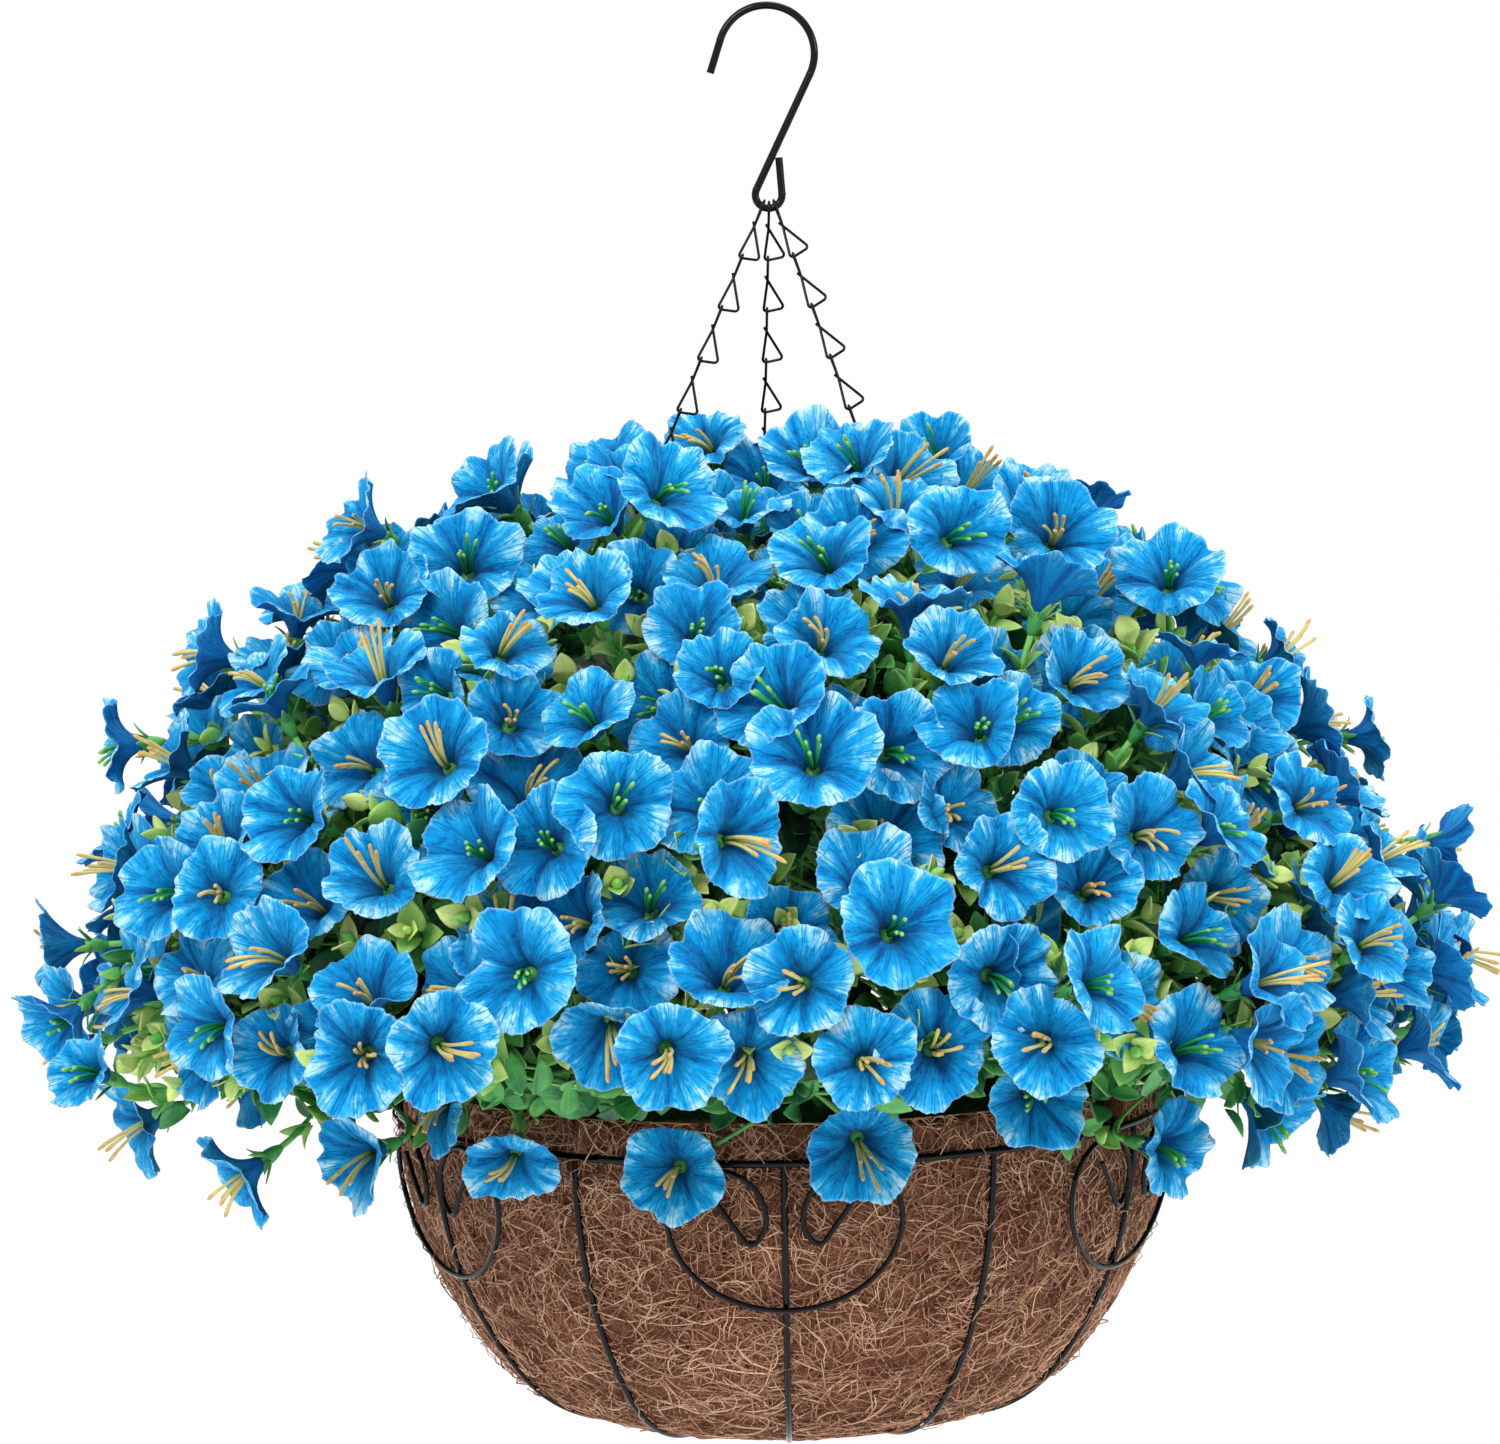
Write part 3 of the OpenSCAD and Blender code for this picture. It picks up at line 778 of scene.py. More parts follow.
def depth_steps(draw, places, count):
    """A depth for each of the first count places that differs from its neighbours' depths."""
    depth = np.zeros(len(places))
    for k in range(count):
        near = np.linalg.norm(places - places[k], axis=1) < NEIGHBOUR
        near[k:] = False
        gaps = [np.min(np.abs(depth[near] - step), initial=30) for step in DEPTH_STEPS]
        depth[k] = DEPTH_STEPS[int(np.argmax(np.array(gaps) + draw.uniform(0, 4, 4)))]
    return depth


def place_flowers(draw, places, normals):
    """Adds the listed flowers, then gives each its depth, its facing and its size."""
    by_hand = np.array([polar(*row[:3]) for row in HAND_SET])
    hand_normals = np.array([unit(polar(row[0], 1, -math.tan(math.radians(row[3]))))
                             for row in HAND_SET])
    clear = nearest(places, by_hand) > HAND_SET_GAP
    places = np.concatenate([places[clear], by_hand])
    normals = np.concatenate([normals[clear], hand_normals])
    count, scattered_count = len(places), clear.sum()
    depth = depth_steps(draw, places, scattered_count) + draw.normal(0, 2.2, count)
    stands_out = draw.uniform(0, 1, count) < STAND_OUT_SHARE
    stands_out[scattered_count:] = False
    depth = np.where(stands_out, draw.uniform(14, 24, count), depth)
    tilt = draw.normal(0, 1, (count, 3)) * np.where(stands_out, 0.6, 0.27)[:, None]
    tilt[scattered_count:] *= 0.5
    tilt -= normals * (tilt * normals).sum(-1, keepdims=True)
    tilt *= np.minimum(1, 1.0 / np.linalg.norm(tilt, axis=1))[:, None]
    to_front = FRONT_LEAN * np.clip(normals[:, 2] - 0.35, 0, 1)
    facing = unit(normals + tilt + to_front[:, None] * [0, -1, 0])
    moved = places + normals * depth[:, None]
    reach = np.hypot(moved[:, 0], moved[:, 1])
    moved[:, :2] *= np.minimum(1, WIDEST / reach)[:, None]
    size = np.clip(draw.normal(1.0, 0.07, count), 0.84, 1.14)
    return moved, facing, normals, size


flowers, facings, flower_normals, sizes = place_flowers(draw, flower_places, flower_normals)
FLOWERS = len(flowers)
seeds = draw.uniform(0, 1, FLOWERS)
print("flowers", FLOWERS)

# %% [markdown]
# ## Which spray a flower belongs to
# The basket is filled with thirteen sprays: one in the middle, six round the crown between
# the chains, and six that trail over the lip. Each can be pulled out of the foam on its own,
# so everything on it is grouped by spray, and that spray's solid in the frame is hidden.

# %% Sort places into sprays
CROWN_EDGES = (-36, 31, 95, 144, 190, 257, 324)
TRAIL_TOP, TRAIL_IN, TRAIL_STEP, CHAIN_SLOT = 58.0, 165.0, 60, 9.0
SPRAY_NAMES = (["centre_spray"] + [f"crown_spray_{k}" for k in range(1, 7)]
               + [f"trailing_spray_{k}" for k in range(1, 7)])


def spray_of(places):
    """Index into SPRAY_NAMES for each place."""
    radius = np.hypot(places[:, 0], places[:, 1])
    angle = np.degrees(np.arctan2(places[:, 1], places[:, 0]))
    turned_on = (angle - CROWN_EDGES[0]) % 360 + CROWN_EDGES[0]
    crown = 1 + np.searchsorted(CROWN_EDGES[1:-1], turned_on, side="right")
    trailing = 7 + np.round((angle + 90) / TRAIL_STEP).astype(int) % 6
    cone = RIM_R * (1 - places[:, 2] / CHAIN_RISE) - CHAIN_SLOT
    low = (places[:, 2] < TRAIL_TOP) & (radius > TRAIL_IN)
    return np.where(radius < cone, np.where(low, trailing, 0), np.where(low, trailing, crown))


def hub_of(spray):
    """Where the side stems of a spray leave its main stem, and the way that stem points."""
    if spray == 0:
        return np.array([0, 0, 60.0]), np.array([0, 0, 1.0])
    if spray <= 6:
        angle = (CROWN_EDGES[spray - 1] + CROWN_EDGES[spray]) / 2
        return polar(angle, 146, 57), unit(polar(angle, 0.55, 0.83))
    angle = (spray - 7) * TRAIL_STEP - 90
    return polar(angle, 183, 35), unit(polar(angle, 1, 0.0))


flower_sprays = spray_of(flowers)
print("flowers in each spray", np.bincount(flower_sprays, minlength=len(SPRAY_NAMES)))

# %% [markdown]
# ## Blue cloth
# Each flower is one piece of printed cloth, heat-pressed into a trumpet. The colour is deep
# blue in the throat, partly print and partly painted shade down the tube, azure half way out
# and a mottled pale sky blue towards the edge, where the cut threads show almost white.
# Pressing leaves sharp creases that run out from the throat; the colour is darker in them,
# most at their bottoms, and along fine pleat lines, as painted shade. The radial crinkles are
# painted lighter on their ridges and darker in their grooves, as painted light and shade. The
# backs are plain azure, with the same painted shade in the creases. The finish reads how far
# out a point is ("reach"), which way it lies from the middle ("spoke_x", "spoke_y"), how
# deep it is in a crease, and whether it is on the back.

# %% Cloth material
def cloth_finish():
    finish = new_finish("blue_cloth", Sheen_Weight=0.12, Sheen_Roughness=0.45,
                        Sheen_Tint=(0.25, 0.6, 1, 1), Roughness=0.72,
                        Specular_IOR_Level=0.1)
    place = place_of(finish)
    reach, crease, seed, back, spoke_x, spoke_y = (
        mark(finish, name) for name in ("reach", "crease", "flower", "back", "spoke_x",
                                        "spoke_y"))
    spoke = add(finish, "CombineXYZ", {0: spoke_x, 1: spoke_y, 2: scaled(
        finish, seed, 37.0, times(finish, reach, 0.35))})
    crinkles_and_painted_shading = noise(finish, spoke, 5.5, detail=5, roughness=0.65)
    threads = noise(finish, spoke, 22, detail=2)
    mottle = noise(finish, place, 330, detail=4, roughness=0.65)
    patches = noise(finish, place, 95, detail=2)
    pleats = ridged(finish, noise(finish, spoke, 7.0, detail=1.5), 0.035)
    pleats = times(finish, pleats, fade(finish, reach, 0.3, 0.6))
    # The colour starts from reach: the deep blue low end of the ramp, in the throat, is partly the
    # print and partly painted shade down the tube.
    tone = reach
    # The crinkle wave lightens the colour on the ridges of the bump and darkens it in the grooves:
    # painted light and shade. The mottle and the patches are a random tone of the print.
    for wave, share in ((crinkles_and_painted_shading, 0.85), (mottle, 0.6), (patches, 0.5)):
        tone = shifted(finish, tone, wave, share)
    # Pleat lines and creases make the colour darker: painted shade in the creases. The flower's
    # seed darkens some flowers a little at random.
    for darker, share in ((pleats, -0.2), (crease, -0.4), (seed, -0.12)):
        tone = scaled(finish, darker, share, tone)
    front = ramp(finish, tone, [
        (0.0, 0, 78, 136), (0.28, 0, 108, 172), (0.46, 0, 132, 198), (0.66, 6, 148, 212),
        (0.8, 52, 168, 222), (0.93, 130, 198, 230), (1.0, 170, 214, 236)])
    cut_edge = fade(finish, reach, 0.975, 1.0, 0.0, 0.4)
    front = blend(finish, cut_edge, front, seen(180, 216, 240))
    # On the backs the creases also make the colour darker: painted shade.
    behind = ramp(finish, scaled(finish, crease, -0.3, tone), [
        (0.1, 0, 92, 162), (0.45, 4, 122, 194), (0.8, 26, 142, 208), (1.0, 76, 170, 222)])
    drive(finish, "Base Color", blend(finish, back, front, behind))
    height = times(finish, mottle, 0.25)
    for wave, share in ((crinkles_and_painted_shading, 1.4), (threads, 0.3), (pleats, -0.45)):
        height = scaled(finish, wave, share, height)
    bumped(finish, height, 0.75, 0.0016)
    return finish


blue_cloth = cloth_finish()

# %% [markdown]
# ## Pressed trumpets
# No two flowers are pressed or bent alike, so eighteen different trumpets are made and each
# is used many times, turned and scaled. The profile is a curve from a narrow tube out to a
# wide limb. Round it go five shallow lobes, a slow warp, a ruffle that only the edge has,
# and about twenty creases. The edge curls up or over in one to three places. The cloth is
# two layers 0.3 mm apart, joined at the edge, so it has a real thickness.

# %% Shape one trumpet
PETAL_COLUMNS = 90
REACHES = np.array([0, 0.13, 0.27, 0.4, 0.51, 0.61, 0.7, 0.78, 0.85, 0.91, 0.96, 1.0])
TRUMPET_HEIGHT = 19.0
TRUMPETS = 18
CLOTH_T = 0.3


def add_creases(draw, turn, t, lobe_turn):
    """How deep each point lies in a crease: five deep ones between the lobes, and others."""
    creases = np.zeros((len(REACHES), PETAL_COLUMNS))
    middles = [lobe_turn + (k + 0.5) * TAU / 5 for k in range(5)]
    middles += list(draw.uniform(0, TAU, draw.integers(12, 17)))
    for k, middle in enumerate(middles):
        deep = draw.uniform(0.75, 1.15) if k < 5 else draw.uniform(0.3, 0.8)
        width = draw.uniform(0.085, 0.13)
        begin = draw.uniform(0.15, 0.35) if k < 5 else draw.uniform(0.25, 0.6)
        lean = draw.normal(0, 0.12)
        groove = np.exp(-(turned_gap(turn, middle + lean * t) / width) ** 2)
        creases += deep * groove * np.clip((t - begin) / 0.25, 0, 1)
    return creases


def trumpet(draw):
    """Front points (rows, columns, 3), facing +Z, and how deep each lies in a crease."""
    turn = (np.arange(PETAL_COLUMNS) * TAU / PETAL_COLUMNS)[None, :]
    t = REACHES[:, None]
    edge_r, flare = draw.uniform(18.4, 20.8), draw.uniform(-3.4, 3.2)
    knee_r, knee_height = draw.uniform(5.0, 8.5), draw.uniform(14.5, 18.0)
    radius = sum(w * r for w, r in zip(cubic(t), (1.5, 3.2, knee_r, edge_r)))
    height = sum(w * h for w, h in zip(cubic(t), (0, 9.5, knee_height,
                                                  TRUMPET_HEIGHT + flare)))
    lobe_turn = draw.uniform(0, TAU)
    lobes = np.cos(5 * (turn - lobe_turn))
    warp = (draw.uniform(0.5, 2.0) * np.cos(2 * turn + draw.uniform(0, TAU))
            + draw.uniform(0.4, 1.5) * np.cos(3 * turn + draw.uniform(0, TAU)))
    ruffle = np.sin(draw.integers(9, 13) * turn + 1.6 * np.sin(2 * turn + draw.uniform(0, TAU)))
    height = height + t ** 2.2 * (draw.uniform(0.7, 1.7) * lobes + warp)
    height = height + t ** 4 * draw.uniform(0.5, 1.1) * ruffle
    uneven = sum(draw.uniform(-0.06, 0.05) * np.exp(-(turned_gap(
        turn, lobe_turn + k * TAU / 5) / 0.45) ** 2) for k in range(5))
    notch = sum(np.exp(-(turned_gap(turn, lobe_turn + (k + 0.5) * TAU / 5) / 0.13) ** 2)
                for k in range(5))
    radius = radius * (1 + t ** 2 * (0.045 * lobes + uneven + 0.018 * ruffle
                                     - 0.05 * t ** 3 * notch))
    creases = add_creases(draw, turn, t, lobe_turn)
    height = height - 1.2 * creases * (0.5 + 0.5 * t)
    for _ in range(draw.integers(1, 4)):
        curl = np.exp(-(turned_gap(turn, draw.uniform(0, TAU)) / draw.uniform(0.35, 0.6)) ** 2)
        over = draw.uniform(-1, 1)
        height = height + curl * t ** 3.2 * np.where(over > 0.35, 5.0, -7.0) * abs(over)
        radius = radius - curl * t ** 3.2 * 4.0 * abs(over)
    radius = radius + t ** 10 * draw.normal(0, 0.28, PETAL_COLUMNS)[None, :]
    return turned(radius, turn, height), np.clip(creases, 0, 1)


def two_layers(front, thickness):
    """Closes a trumpet: front rows outwards, then the back rows inwards."""
    along = np.gradient(front, axis=0)
    round_it = np.roll(front, -1, 1) - np.roll(front, 1, 1)
    normal = unit(np.cross(along, round_it))
    return np.concatenate([front, (front - normal * thickness)[::-1]], 0)


# %% Make the set of trumpets
draw = np.random.default_rng(40)
trumpets = [trumpet(draw) for _ in range(TRUMPETS)]
trumpet_shapes = np.stack([two_layers(front, CLOTH_T).reshape(-1, 3) for front, _ in trumpets])
trumpet_creases = np.stack([np.concatenate([c, c[::-1]]).ravel() for _, c in trumpets])
PETAL_ROWS = 2 * len(REACHES)
petal_quads = lattice(PETAL_ROWS, PETAL_COLUMNS, wrap_rows=True)[:, ::-1]
petal_turn = np.tile(np.arange(PETAL_COLUMNS) * TAU / PETAL_COLUMNS, PETAL_ROWS)
petal_reach = np.repeat(np.concatenate([REACHES, REACHES[::-1]]), PETAL_COLUMNS)
petal_back = np.repeat(np.arange(PETAL_ROWS) >= len(REACHES), PETAL_COLUMNS).astype(float)
print("faces in one trumpet", len(petal_quads))


# %% Frames for the flowers
def frames(facing, twist):
    """Two unit vectors across each way of facing, turned round it by twist."""
    helper = np.where(np.abs(facing[:, 2:]) > 0.9, [[1.0, 0, 0]], [[0, 0, 1.0]])
    across = unit(np.cross(helper, facing))
    aside = np.cross(facing, across)
    first = across * np.cos(twist)[:, None] + aside * np.sin(twist)[:, None]
    return first, np.cross(facing, first)


twists = draw.uniform(0, TAU, FLOWERS)
first_axes, second_axes = frames(facings, twists)
kinds = draw.integers(0, TRUMPETS, FLOWERS)
bases = flowers - facings * (TRUMPET_HEIGHT * sizes)[:, None]


def petals_of(which):
    shapes = trumpet_shapes[kinds[which]] * sizes[which][:, None, None]
    points = (bases[which][:, None] + shapes[..., :1] * first_axes[which][:, None]
              + shapes[..., 1:2] * second_axes[which][:, None]
              + shapes[..., 2:] * facings[which][:, None])
    count = len(which)
    stride = shapes.shape[1]
    marks = {"reach": np.tile(petal_reach, count), "back": np.tile(petal_back, count),
             "spoke_x": np.tile(np.cos(petal_turn), count),
             "spoke_y": np.tile(np.sin(petal_turn), count),
             "crease": trumpet_creases[kinds[which]].ravel(),
             "flower": np.repeat(seeds[which], stride)}
    return (points.reshape(-1, 3), repeat_faces(petal_quads, count, stride),
            np.zeros((0, 3), int), marks)


# %% [markdown]
# ## Stamens
# From each throat come five moulded stamens, thin and slightly drooping, with a swollen tip.
# Just over half of the flowers have cream ones with a green foot and brownish tips, and the
# rest have plain green ones, which are shorter. A stamen is a tube that swells at the end.

# %% Stamen finish and shapes
STAMENS = 5
STAMEN_ROWS, STAMEN_SIDES = 9, 6
STAMEN_RADII = np.array([0.74, 0.7, 0.66, 0.62, 0.62, 0.66, 0.78, 0.82, 0.45])
STAMEN_PLACES = np.array([0, 0.16, 0.32, 0.48, 0.64, 0.8, 0.88, 0.95, 1.0])


def stamen_finish():
    finish = new_finish("stamen_plastic", Roughness=0.4, Specular_IOR_Level=0.5)
    along = mark(finish, "along")
    uneven = noise(finish, place_of(finish), 500, detail=3)
    tone = shifted(finish, along, uneven, 0.3)
    cream = ramp(finish, tone, [(0.0, 50, 118, 50), (0.22, 140, 160, 74), (0.42, 204, 194, 116),
                                (0.84, 208, 190, 110), (0.97, 190, 150, 82)])
    green = ramp(finish, tone, [(0.0, 6, 84, 44), (0.4, 14, 126, 60), (0.85, 44, 158, 72),
                                (0.95, 120, 184, 88)])
    drive(finish, "Base Color", blend(finish, mark(finish, "green"), cream, green))
    bumped(finish, uneven, 0.5, 0.0004)
    return finish


stamen_plastic = stamen_finish()
GREEN_SHARE = 0.45
draw = np.random.default_rng(52)
is_green = (draw.uniform(0, 1, FLOWERS) < GREEN_SHARE).astype(float)
fan = draw.uniform(0, TAU, (FLOWERS, 1)) + np.arange(STAMENS) * TAU / STAMENS
fan = fan + draw.normal(0, 0.5, fan.shape)
opening = draw.uniform(0.02, 0.16, (FLOWERS, STAMENS))
stamen_length = draw.uniform(14, 23, (FLOWERS, STAMENS)) * sizes[:, None]
stamen_length = stamen_length * (1 - 0.25 * is_green[:, None])
common_lean = unit(draw.normal(0, 1, (FLOWERS, 3)) + [0, 0, -0.6]) * 0.6


def stamens_of(which):
    spokes = between(first_axes[which], second_axes[which], fan[which])
    heading = unit(facings[which][:, None] + spokes * np.tan(opening[which])[..., None])
    start = (bases[which] + facings[which] * 7)[:, None] + spokes * 0.7
    lean = common_lean[which][:, None] + spokes * 0.14
    t = STAMEN_PLACES[None, None, :, None]
    length = stamen_length[which][..., None, None]
    routes = (start[:, :, None] + heading[:, :, None] * length * t
              + lean[:, :, None] * length * 0.55 * t ** 2.2)
    routes = routes.reshape(-1, STAMEN_ROWS, 3)
    return tubes(routes, STAMEN_RADII, STAMEN_SIDES,
                 along=np.broadcast_to(STAMEN_PLACES, routes.shape[:2]),
                 green=np.repeat(is_green[which], STAMENS))


# %% [markdown]
# ## Green leaves
# The leaves are moulded plastic, glossy, oval and pointed, and cupped along the middle. They
# sit in crossed pairs that get smaller and yellower towards the tip of their stem, and those
# deep inside are coloured very dark, as painted shade. The same blade shape, made long and
# narrow, gives the sepals. Each is a closed shape of two skins. Two marks drive the colour,
# the pale rim and the midrib: how old a leaf is, which for the leaves deep inside carries
# their painted shade, and "across".

# %% Leaf finish
def leaf_finish():
    finish = new_finish("leaf_plastic", Specular_IOR_Level=0.34)
    age, across, along = (mark(finish, name) for name in ("age", "across", "along"))
    mottle = noise(finish, place_of(finish), 140, detail=4)
    tone = shifted(finish, shifted(finish, age, mottle, 0.5), along, -0.22, middle=0.4)
    # Leaves run from yellow-green when young to dark green when old; the very dark end of the ramp
    # is where the leaves deep inside are set, and there it is painted shade.
    colour = ramp(finish, tone, [
        (0.0, 212, 232, 140), (0.2, 162, 216, 106), (0.42, 96, 182, 90), (0.66, 36, 126, 66),
        (0.86, 9, 64, 37), (1.0, 2, 28, 16)])
    width = maths(finish, "ABSOLUTE", across)
    young = fade(finish, age, 0.2, 0.75, 1.0, 0.0)
    rim = times(finish, times(finish, maths(finish, "POWER", width, 5.0), 0.32), young)
    rib = times(finish, fade(finish, width, 0.0, 0.14, 0.3, 0.0),
                scaled(finish, young, 0.8, 0.2))
    colour = blend(finish, rim, colour, seen(214, 224, 130))
    drive(finish, "Base Color", blend(finish, rib, colour, seen(168, 194, 96)))
    drive(finish, "Roughness", scaled(finish, mottle, 0.3, 0.2))
    veins = noise(finish, add(finish, "CombineXYZ", {
        0: times(finish, along, 9.0), 1: times(finish, width, 3.0),
        2: times(finish, age, 60.0)}), 2.0, detail=3)
    bumped(finish, scaled(finish, mottle, 0.4, veins), 0.5, 0.0007)
    return finish


leaf_plastic = leaf_finish()

# %% Blades: leaves and sepals
BLADE_ROWS = 7
TOP_ACROSS = np.array([-1, -0.55, 0, 0.55, 1])
UNDER_ACROSS = np.array([0.95, 0.5, 0, -0.5, -0.95])
BLADE_SIDES = len(TOP_ACROSS) + len(UNDER_ACROSS)
BLADE_T = 0.35


def blades(base, heading, face, length, width, cup, droop, age, fullness=0.8):
    """Leaves at those bases. heading runs along each leaf and face out of its upper side."""
    side = np.cross(heading, face)
    u = np.linspace(0, 1, BLADE_ROWS)
    outline = np.maximum(np.sin(math.pi * u ** fullness) ** 0.75, 0.05)
    outline[-1] = 0.04
    across = np.concatenate([TOP_ACROSS, UNDER_ACROSS])
    under = np.concatenate([np.zeros(len(TOP_ACROSS)), np.full(len(UNDER_ACROSS), BLADE_T)])
    half = (width / 2)[:, None, None] * outline[None, :, None]
    x = half * across[None, None, :]
    bent = droop[:, None] * u[None, :] ** 2
    y = (length[:, None] * u[None, :] * (1 - 0.35 * np.abs(bent)))[..., None]
    z = (cup[:, None, None] * half * np.abs(across) ** 1.7
         - (bent * length[:, None])[..., None] - under[None, None, :])
    rings = (base[:, None, None] + side[:, None, None] * x[..., None]
             + heading[:, None, None] * (y + 0 * x)[..., None]
             + face[:, None, None] * (z + 0 * x)[..., None])
    points, quads, tris = capped(rings)
    count = len(base)
    one = np.concatenate([np.tile(across, BLADE_ROWS), [0, 0]])
    marks = {"across": np.tile(one, count), "age": spread(age, BLADE_ROWS, BLADE_SIDES),
             "along": spread(np.broadcast_to(u, (count, BLADE_ROWS)), BLADE_ROWS, BLADE_SIDES)}
    return points, quads, tris, marks


# %% [markdown]
# ## Calyxes and flower stalks
# Behind each trumpet is a green moulded cup with five pointed sepals that lie against the
# cloth. Its stalk is thick for the first centimetre and then thins into a wire stem that
# curves back to the spray's main stem.

# %% Calyx, sepals and stems
CUP_PLACES = np.array([-5.5, -4.2, -2.0, 0.6, 3.0, 4.4])
CUP_RADII = np.array([1.0, 1.7, 2.5, 2.9, 2.9, 2.5])
CUP_SIDES, CUP_BACK = 10, 4.5
SEPALS = 5
STEM_ROWS, STEM_SIDES = 16, 5
THIN_STEM, THICK_STEM = 0.75, 1.25
THICK_LENGTH, THINNING_LENGTH = 12, 5


def calyxes_of(which, draw):
    axis = facings[which]
    cup_routes = bases[which][:, None] + axis[:, None] * CUP_PLACES[None, :, None]
    cups = tubes(cup_routes, CUP_RADII, CUP_SIDES, age=0.55, across=0.5, along=0.3)
    turn = twists[which][:, None] + np.arange(SEPALS) * TAU / SEPALS
    spokes = between(first_axes[which], second_axes[which], turn).reshape(-1, 3)
    ahead = np.repeat(axis, SEPALS, 0)
    splay = draw.uniform(0.45, 0.95, len(spokes))
    heading = unit(ahead * np.cos(splay)[:, None] + spokes * np.sin(splay)[:, None])
    face = unit(ahead - heading * (ahead * heading).sum(-1, keepdims=True))
    roots = np.repeat(bases[which], SEPALS, 0) + spokes * 2.3 + ahead * 1.0
    total = len(spokes)
    sepals = blades(roots, heading, face, draw.uniform(7, 9.5, total), np.full(total, 2.5),
                    np.full(total, 0.3), draw.uniform(-0.1, 0.3, total),
                    draw.uniform(0.35, 0.7, total), fullness=0.62)
    return joined([cups, sepals])


def stem_routes(tips, pointing, sprays, draw):
    """Curves from each spray's main stem out to the tips, which they reach along pointing."""
    starts, ways = zip(*(hub_of(s) for s in sprays))
    starts, ways = np.array(starts), np.array(ways)
    starts = starts - ways * draw.uniform(0, 22, len(tips))[:, None]
    distance = np.linalg.norm(tips - starts, axis=1, keepdims=True)
    second = starts + unit(ways + draw.normal(0, 0.25, ways.shape)) * distance * 0.35
    third = tips - pointing * np.minimum(distance * 0.4, 60)
    t = (np.linspace(0, 1, STEM_ROWS) ** 0.8)[None, :, None]
    corners = (starts, second, third, tips)
    return sum(weight * corner[:, None] for weight, corner in zip(cubic(t), corners))


def stems_of(which, draw):
    tips = bases[which] - facings[which] * CUP_BACK
    routes = stem_routes(tips, facings[which], flower_sprays[which], draw)
    left = np.linalg.norm(routes - tips[:, None], axis=2)
    thick = np.clip((THICK_LENGTH + THINNING_LENGTH - left) / THINNING_LENGTH, 0, 1)
    radii = THIN_STEM + (THICK_STEM - THIN_STEM) * thick
    return tubes(routes, radii, STEM_SIDES, age=draw.uniform(0.3, 0.6, len(which)),
                 across=0.5, along=0.5)


# %% [markdown]
# ## Leafy sprigs
# Leaves fill the gaps between the flowers in two ways: pairs along the last few centimetres
# of each flower's stem, and short sprigs of their own, with a bud at the tip, set where the
# flowers leave room. Deeper in, larger leaves, coloured very dark as painted shade, close the
# view into the basket where the real sprays have their lower leaves.

# %% Pairs of leaves along an axis
FLOWER_LEAVES = dict(step=9, pairs=3, biggest=15, smallest=11, oldest=0.62, youngest=0.35)
SPRIG_LEAVES = dict(step=7.2, pairs=5, biggest=19, smallest=11, oldest=0.66, youngest=0.02)
LEAVES_BEHIND = 37
SPRIG_LENGTH, SPRIG_STEM = 30, 0.65


def paired_leaves(draw, roots, axes, step, pairs, biggest, smallest, oldest, youngest):
    """Crossed pairs of leaves up each axis, from the oldest and biggest to the youngest."""
    made = []
    turn = draw.uniform(0, TAU, len(roots))
    for k in range(pairs):
        share = k / max(pairs - 1, 1)
        turn = turn + math.pi / 2 + draw.normal(0, 0.2, len(roots))
        first, second = frames(axes, turn)
        for side in (1, -1):
            count = len(roots)
            out = unit(side * first + second * draw.normal(0, 0.2, (count, 1)))
            rise = np.radians(draw.uniform(18, 42, count) + 30 * share)
            heading = unit(axes * np.sin(rise)[:, None] + out * np.cos(rise)[:, None])
            face = unit(axes * np.cos(rise)[:, None] - out * np.sin(rise)[:, None])
            face = unit(face - heading * (face * heading).sum(-1, keepdims=True))
            size = biggest + (smallest - biggest) * share
            length = size * draw.uniform(0.82, 1.15, count)
            age = oldest + (youngest - oldest) * share + draw.normal(0, 0.07, count)
            made.append(blades(roots + axes * step * k + out * 0.5, heading, face, length,
                               length * draw.uniform(0.6, 0.78, count),
                               draw.uniform(0.25, 0.6, count), draw.uniform(-0.1, 0.28, count),
                               np.clip(age, 0.02, 1.0)))
    return made


BUD_PLACES = np.array([0, 0.15, 0.4, 0.7, 0.9, 1.0])
BUD_RADII = np.array([0.5, 1.3, 1.9, 1.7, 0.9, 0.3])
BUD_SIDES = 8


def buds(tips, axes, draw):
    """Small green buds and pods at the tips of sprigs."""
    count = len(tips)
    length = draw.uniform(5, 9.5, (count, 1, 1))
    routes = tips[:, None] + axes[:, None] * length * BUD_PLACES[None, :, None]
    radii = BUD_RADII * draw.uniform(0.75, 1.15, (count, 1))
    return tubes(routes, radii, BUD_SIDES, age=draw.uniform(0.1, 0.5, count),
                 across=0.4, along=0.4)


# %% Place the sprigs
SPRIG_SPACING, SPRIG_FROM_FLOWER, SPRIG_FROM_CHAIN, SPRIG_TRIES = 17.0, 18.5, 11.0, 16000
draw = np.random.default_rng(77)
sprig_places, sprig_normals = scattered(
    draw, SPRIG_TRIES, SPRIG_SPACING, SPRIG_FROM_CHAIN,
    others=flowers - flower_normals * 4, other_gap=SPRIG_FROM_FLOWER)
sprig_depth = draw.uniform(-26, -8, len(sprig_places))
sprig_tips = sprig_places + sprig_normals * sprig_depth[:, None]
sprig_axes = unit(sprig_normals + draw.normal(0, 0.3, sprig_normals.shape))
sprig_sprays = spray_of(sprig_tips)
print("sprigs", len(sprig_tips), "by spray", np.bincount(sprig_sprays, minlength=len(SPRAY_NAMES)))

# %% Leaves inside, coloured dark as painted shade
INNER_COUNT = 1900
UNDERSIDE = ((250, 44), (214, 26), (184, 18), (160, 20))
SIDE_UNDERSIDE = ((244, 22), (214, 12), (188, 10), (166, 14))


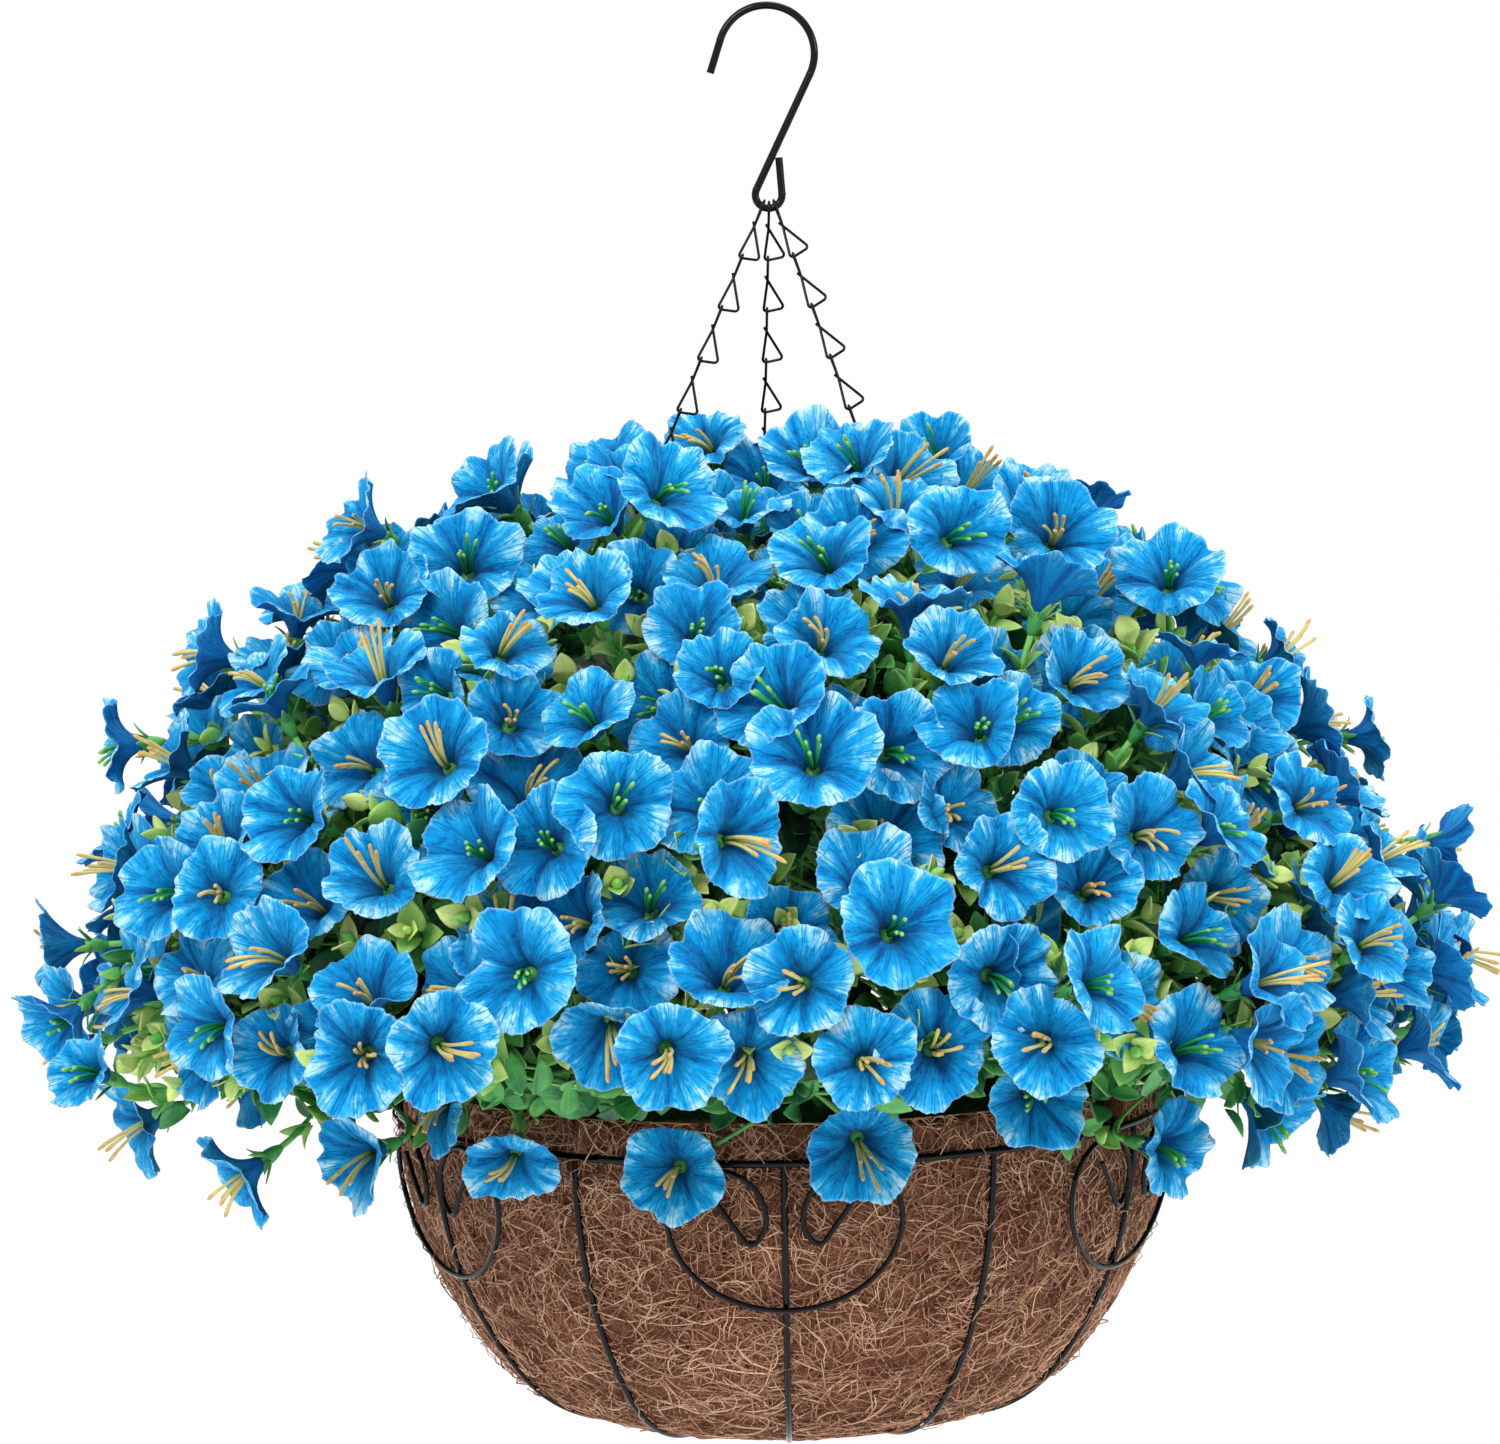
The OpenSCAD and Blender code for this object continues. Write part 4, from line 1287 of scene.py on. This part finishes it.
def inner_leaves(draw):
    """Places and normals under the flowers, and under the overhang all round."""
    share = np.sqrt(draw.uniform(0, 1, INNER_COUNT))
    turn = draw.uniform(0, TAU, INNER_COUNT)
    place, normal = on_dome(share, turn)
    keep = place[:, 2] > lowest(turn) - 12
    place = place - normal * draw.uniform(26, 52, INNER_COUNT)[:, None]
    place, normal = place[keep], normal[keep]
    count = INNER_COUNT // 2
    turn, share = draw.uniform(0, TAU, count), draw.uniform(0, 1, count)
    side = (lowest(turn) - FRONT_LOW) / (SIDE_LOW - FRONT_LOW)
    where = share * 3
    spots = [np.stack([np.interp(where, range(4), [p[k] for p in line]) for k in (0, 1)], -1)
             for line in (UNDERSIDE, SIDE_UNDERSIDE)]
    spot = spots[0] + (spots[1] - spots[0]) * side[:, None]
    under = turned(spot[:, 0], turn, spot[:, 1] + draw.uniform(4, 22, count))
    down = unit(turned(1, turn, -0.7))
    place, normal = np.concatenate([place, under]), np.concatenate([normal, down])
    clear = chain_gap(place) > 9
    return place[clear], normal[clear]


MOUTH_BACK, MOUTH_FRONT, MOUTH_SIDE = -13, 34, 27


def across_a_flower(places):
    """True for a place that lies in a flower's mouth or just in front of it."""
    found = np.zeros(len(places), bool)
    for mouth, facing in zip(flowers, facings):
        offset = places - mouth
        ahead = offset @ facing
        aside = np.linalg.norm(offset - ahead[:, None] * facing, axis=1)
        found |= (ahead > MOUTH_BACK) & (ahead < MOUTH_FRONT) & (aside < MOUTH_SIDE)
    return found


inner_places, inner_normals = inner_leaves(draw)
hidden = ~across_a_flower(inner_places)
inner_places, inner_normals = inner_places[hidden], inner_normals[hidden]
inner_sprays = spray_of(inner_places)
print("inner leaves", len(inner_places))


def inner_blades(which, draw):
    count = len(which)
    low = inner_places[which][:, 2] < FRONT_LOW
    face = unit(inner_normals[which]
                + draw.normal(0, 1, (count, 3)) * np.where(low, 0.7, 0.38)[:, None])
    heading = frames(face, draw.uniform(0, TAU, count))[0]
    length = draw.uniform(19, 30, count) * np.where(low, 0.62, 1)
    # The last value sets these leaves at the dark end of the leaf colours: painted shade inside
    # the head, a little lighter for those low under the overhang.
    return blades(inner_places[which] - heading * length[:, None] / 2, heading, face, length,
                  length * draw.uniform(0.5, 0.66, count), draw.uniform(0.1, 0.4, count),
                  draw.uniform(-0.1, 0.25, count),
                  draw.uniform(0.66, 1.0, count) - np.where(low, 0.22, 0))


# %% [markdown]
# ## Put the sprays together
# Each spray becomes four pieces, one for each finish or kind: petals, stamens, calyxes with
# their stems, and leaves. They ride on the basket's body, and the spray's plain solid in the
# frame is hidden.

# %% Build every spray
SPRAY_SEED = 900
face_total = 0
for spray, spray_name in enumerate(SPRAY_NAMES):
    draw = np.random.default_rng(SPRAY_SEED + spray)
    mine = np.flatnonzero(flower_sprays == spray)
    sprigs = np.flatnonzero(sprig_sprays == spray)
    inner = np.flatnonzero(inner_sprays == spray)
    parts = []
    made = []
    if len(mine):
        petals = make_piece(f"{spray_name}_petals", *petals_of(mine), blue_cloth)
        stamens = make_piece(f"{spray_name}_stamens", *stamens_of(mine), stamen_plastic)
        stalks = joined([calyxes_of(mine, draw), stems_of(mine, draw)])
        calyxes = make_piece(f"{spray_name}_calyxes", *stalks, leaf_plastic)
        made += [petals, stamens, calyxes]
        parts += paired_leaves(draw, bases[mine] - facings[mine] * LEAVES_BEHIND,
                               facings[mine], **FLOWER_LEAVES)
    if len(sprigs):
        tips, axes = sprig_tips[sprigs], sprig_axes[sprigs]
        parts += paired_leaves(draw, tips - axes * SPRIG_LENGTH, axes, **SPRIG_LEAVES)
        parts.append(buds(tips - axes * 1.5, axes, draw))
        routes = stem_routes(tips, axes, sprig_sprays[sprigs], draw)
        parts.append(tubes(routes, SPRIG_STEM, STEM_SIDES, age=0.4, across=0.5, along=0.5))
    if len(inner):
        parts.append(inner_blades(inner, draw))
    leaves = make_piece(f"{spray_name}_leaves", *joined(parts), leaf_plastic)
    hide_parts(spray_name)
    made.append(leaves)
    face_total += sum(len(piece.data.polygons) for piece in made)
print("faces on the sprays", face_total)

# %% [markdown]
# ## Floor, light and background
# The basket hangs well above a plain pale floor. The world is an even soft white, as in a
# light tent, with a large lamp in front for shape, a smaller one at the side for bright
# lines on the wires, and one behind and above for the top of the head.

# %% Floor
FLOOR_BELOW = 0.75
FLOOR_HALF = 30.0


def floor_finish():
    finish = new_finish("pale_floor", Roughness=0.9, Specular_IOR_Level=0.1)
    dust = noise(finish, place_of(finish), 3.0, detail=3)
    drive(finish, "Base Color", ramp(finish, dust, [(0.3, 252, 252, 253), (0.7, 254, 254, 254)]))
    return finish


def floor_piece():
    height = cad_box[0][2] - FLOOR_BELOW
    corners = [(-FLOOR_HALF, -FLOOR_HALF, height), (FLOOR_HALF, -FLOOR_HALF, height),
               (FLOOR_HALF, FLOOR_HALF, height), (-FLOOR_HALF, FLOOR_HALF, height)]
    mesh = bpy.data.meshes.new("floor")
    mesh.from_pydata(corners, [], [(0, 1, 2, 3)])
    mesh.materials.append(floor_finish())
    return placed("floor", mesh)


floor_piece()


# %% World and lamps
def lamp(name, place, target, size, power):
    data = bpy.data.lights.new(name, "AREA")
    data.shape, data.size, data.energy = "DISK", size, power
    light = placed(name, data)
    light.location = place
    light.rotation_euler = (Vector(place) - Vector(target)).to_track_quat("Z", "Y").to_euler()


def light_the_scene():
    world = bpy.data.worlds.new("light_tent")
    world.use_nodes = True
    background = world.node_tree.nodes["Background"]
    background.inputs["Color"].default_value = (1, 1, 1, 1)
    background.inputs["Strength"].default_value = 1.03
    bpy.context.scene.world = world
    middle = (0, 0, RIM_Z * MM + 0.05)
    lamp("key", (-0.9, -2.0, 1.3), middle, 1.3, 38)
    lamp("side", (1.7, -1.2, 0.5), middle, 0.7, 12)
    lamp("top", (0.2, 0.5, 1.6), middle, 1.0, 16)


light_the_scene()
bpy.context.scene.view_settings.view_transform = "Standard"
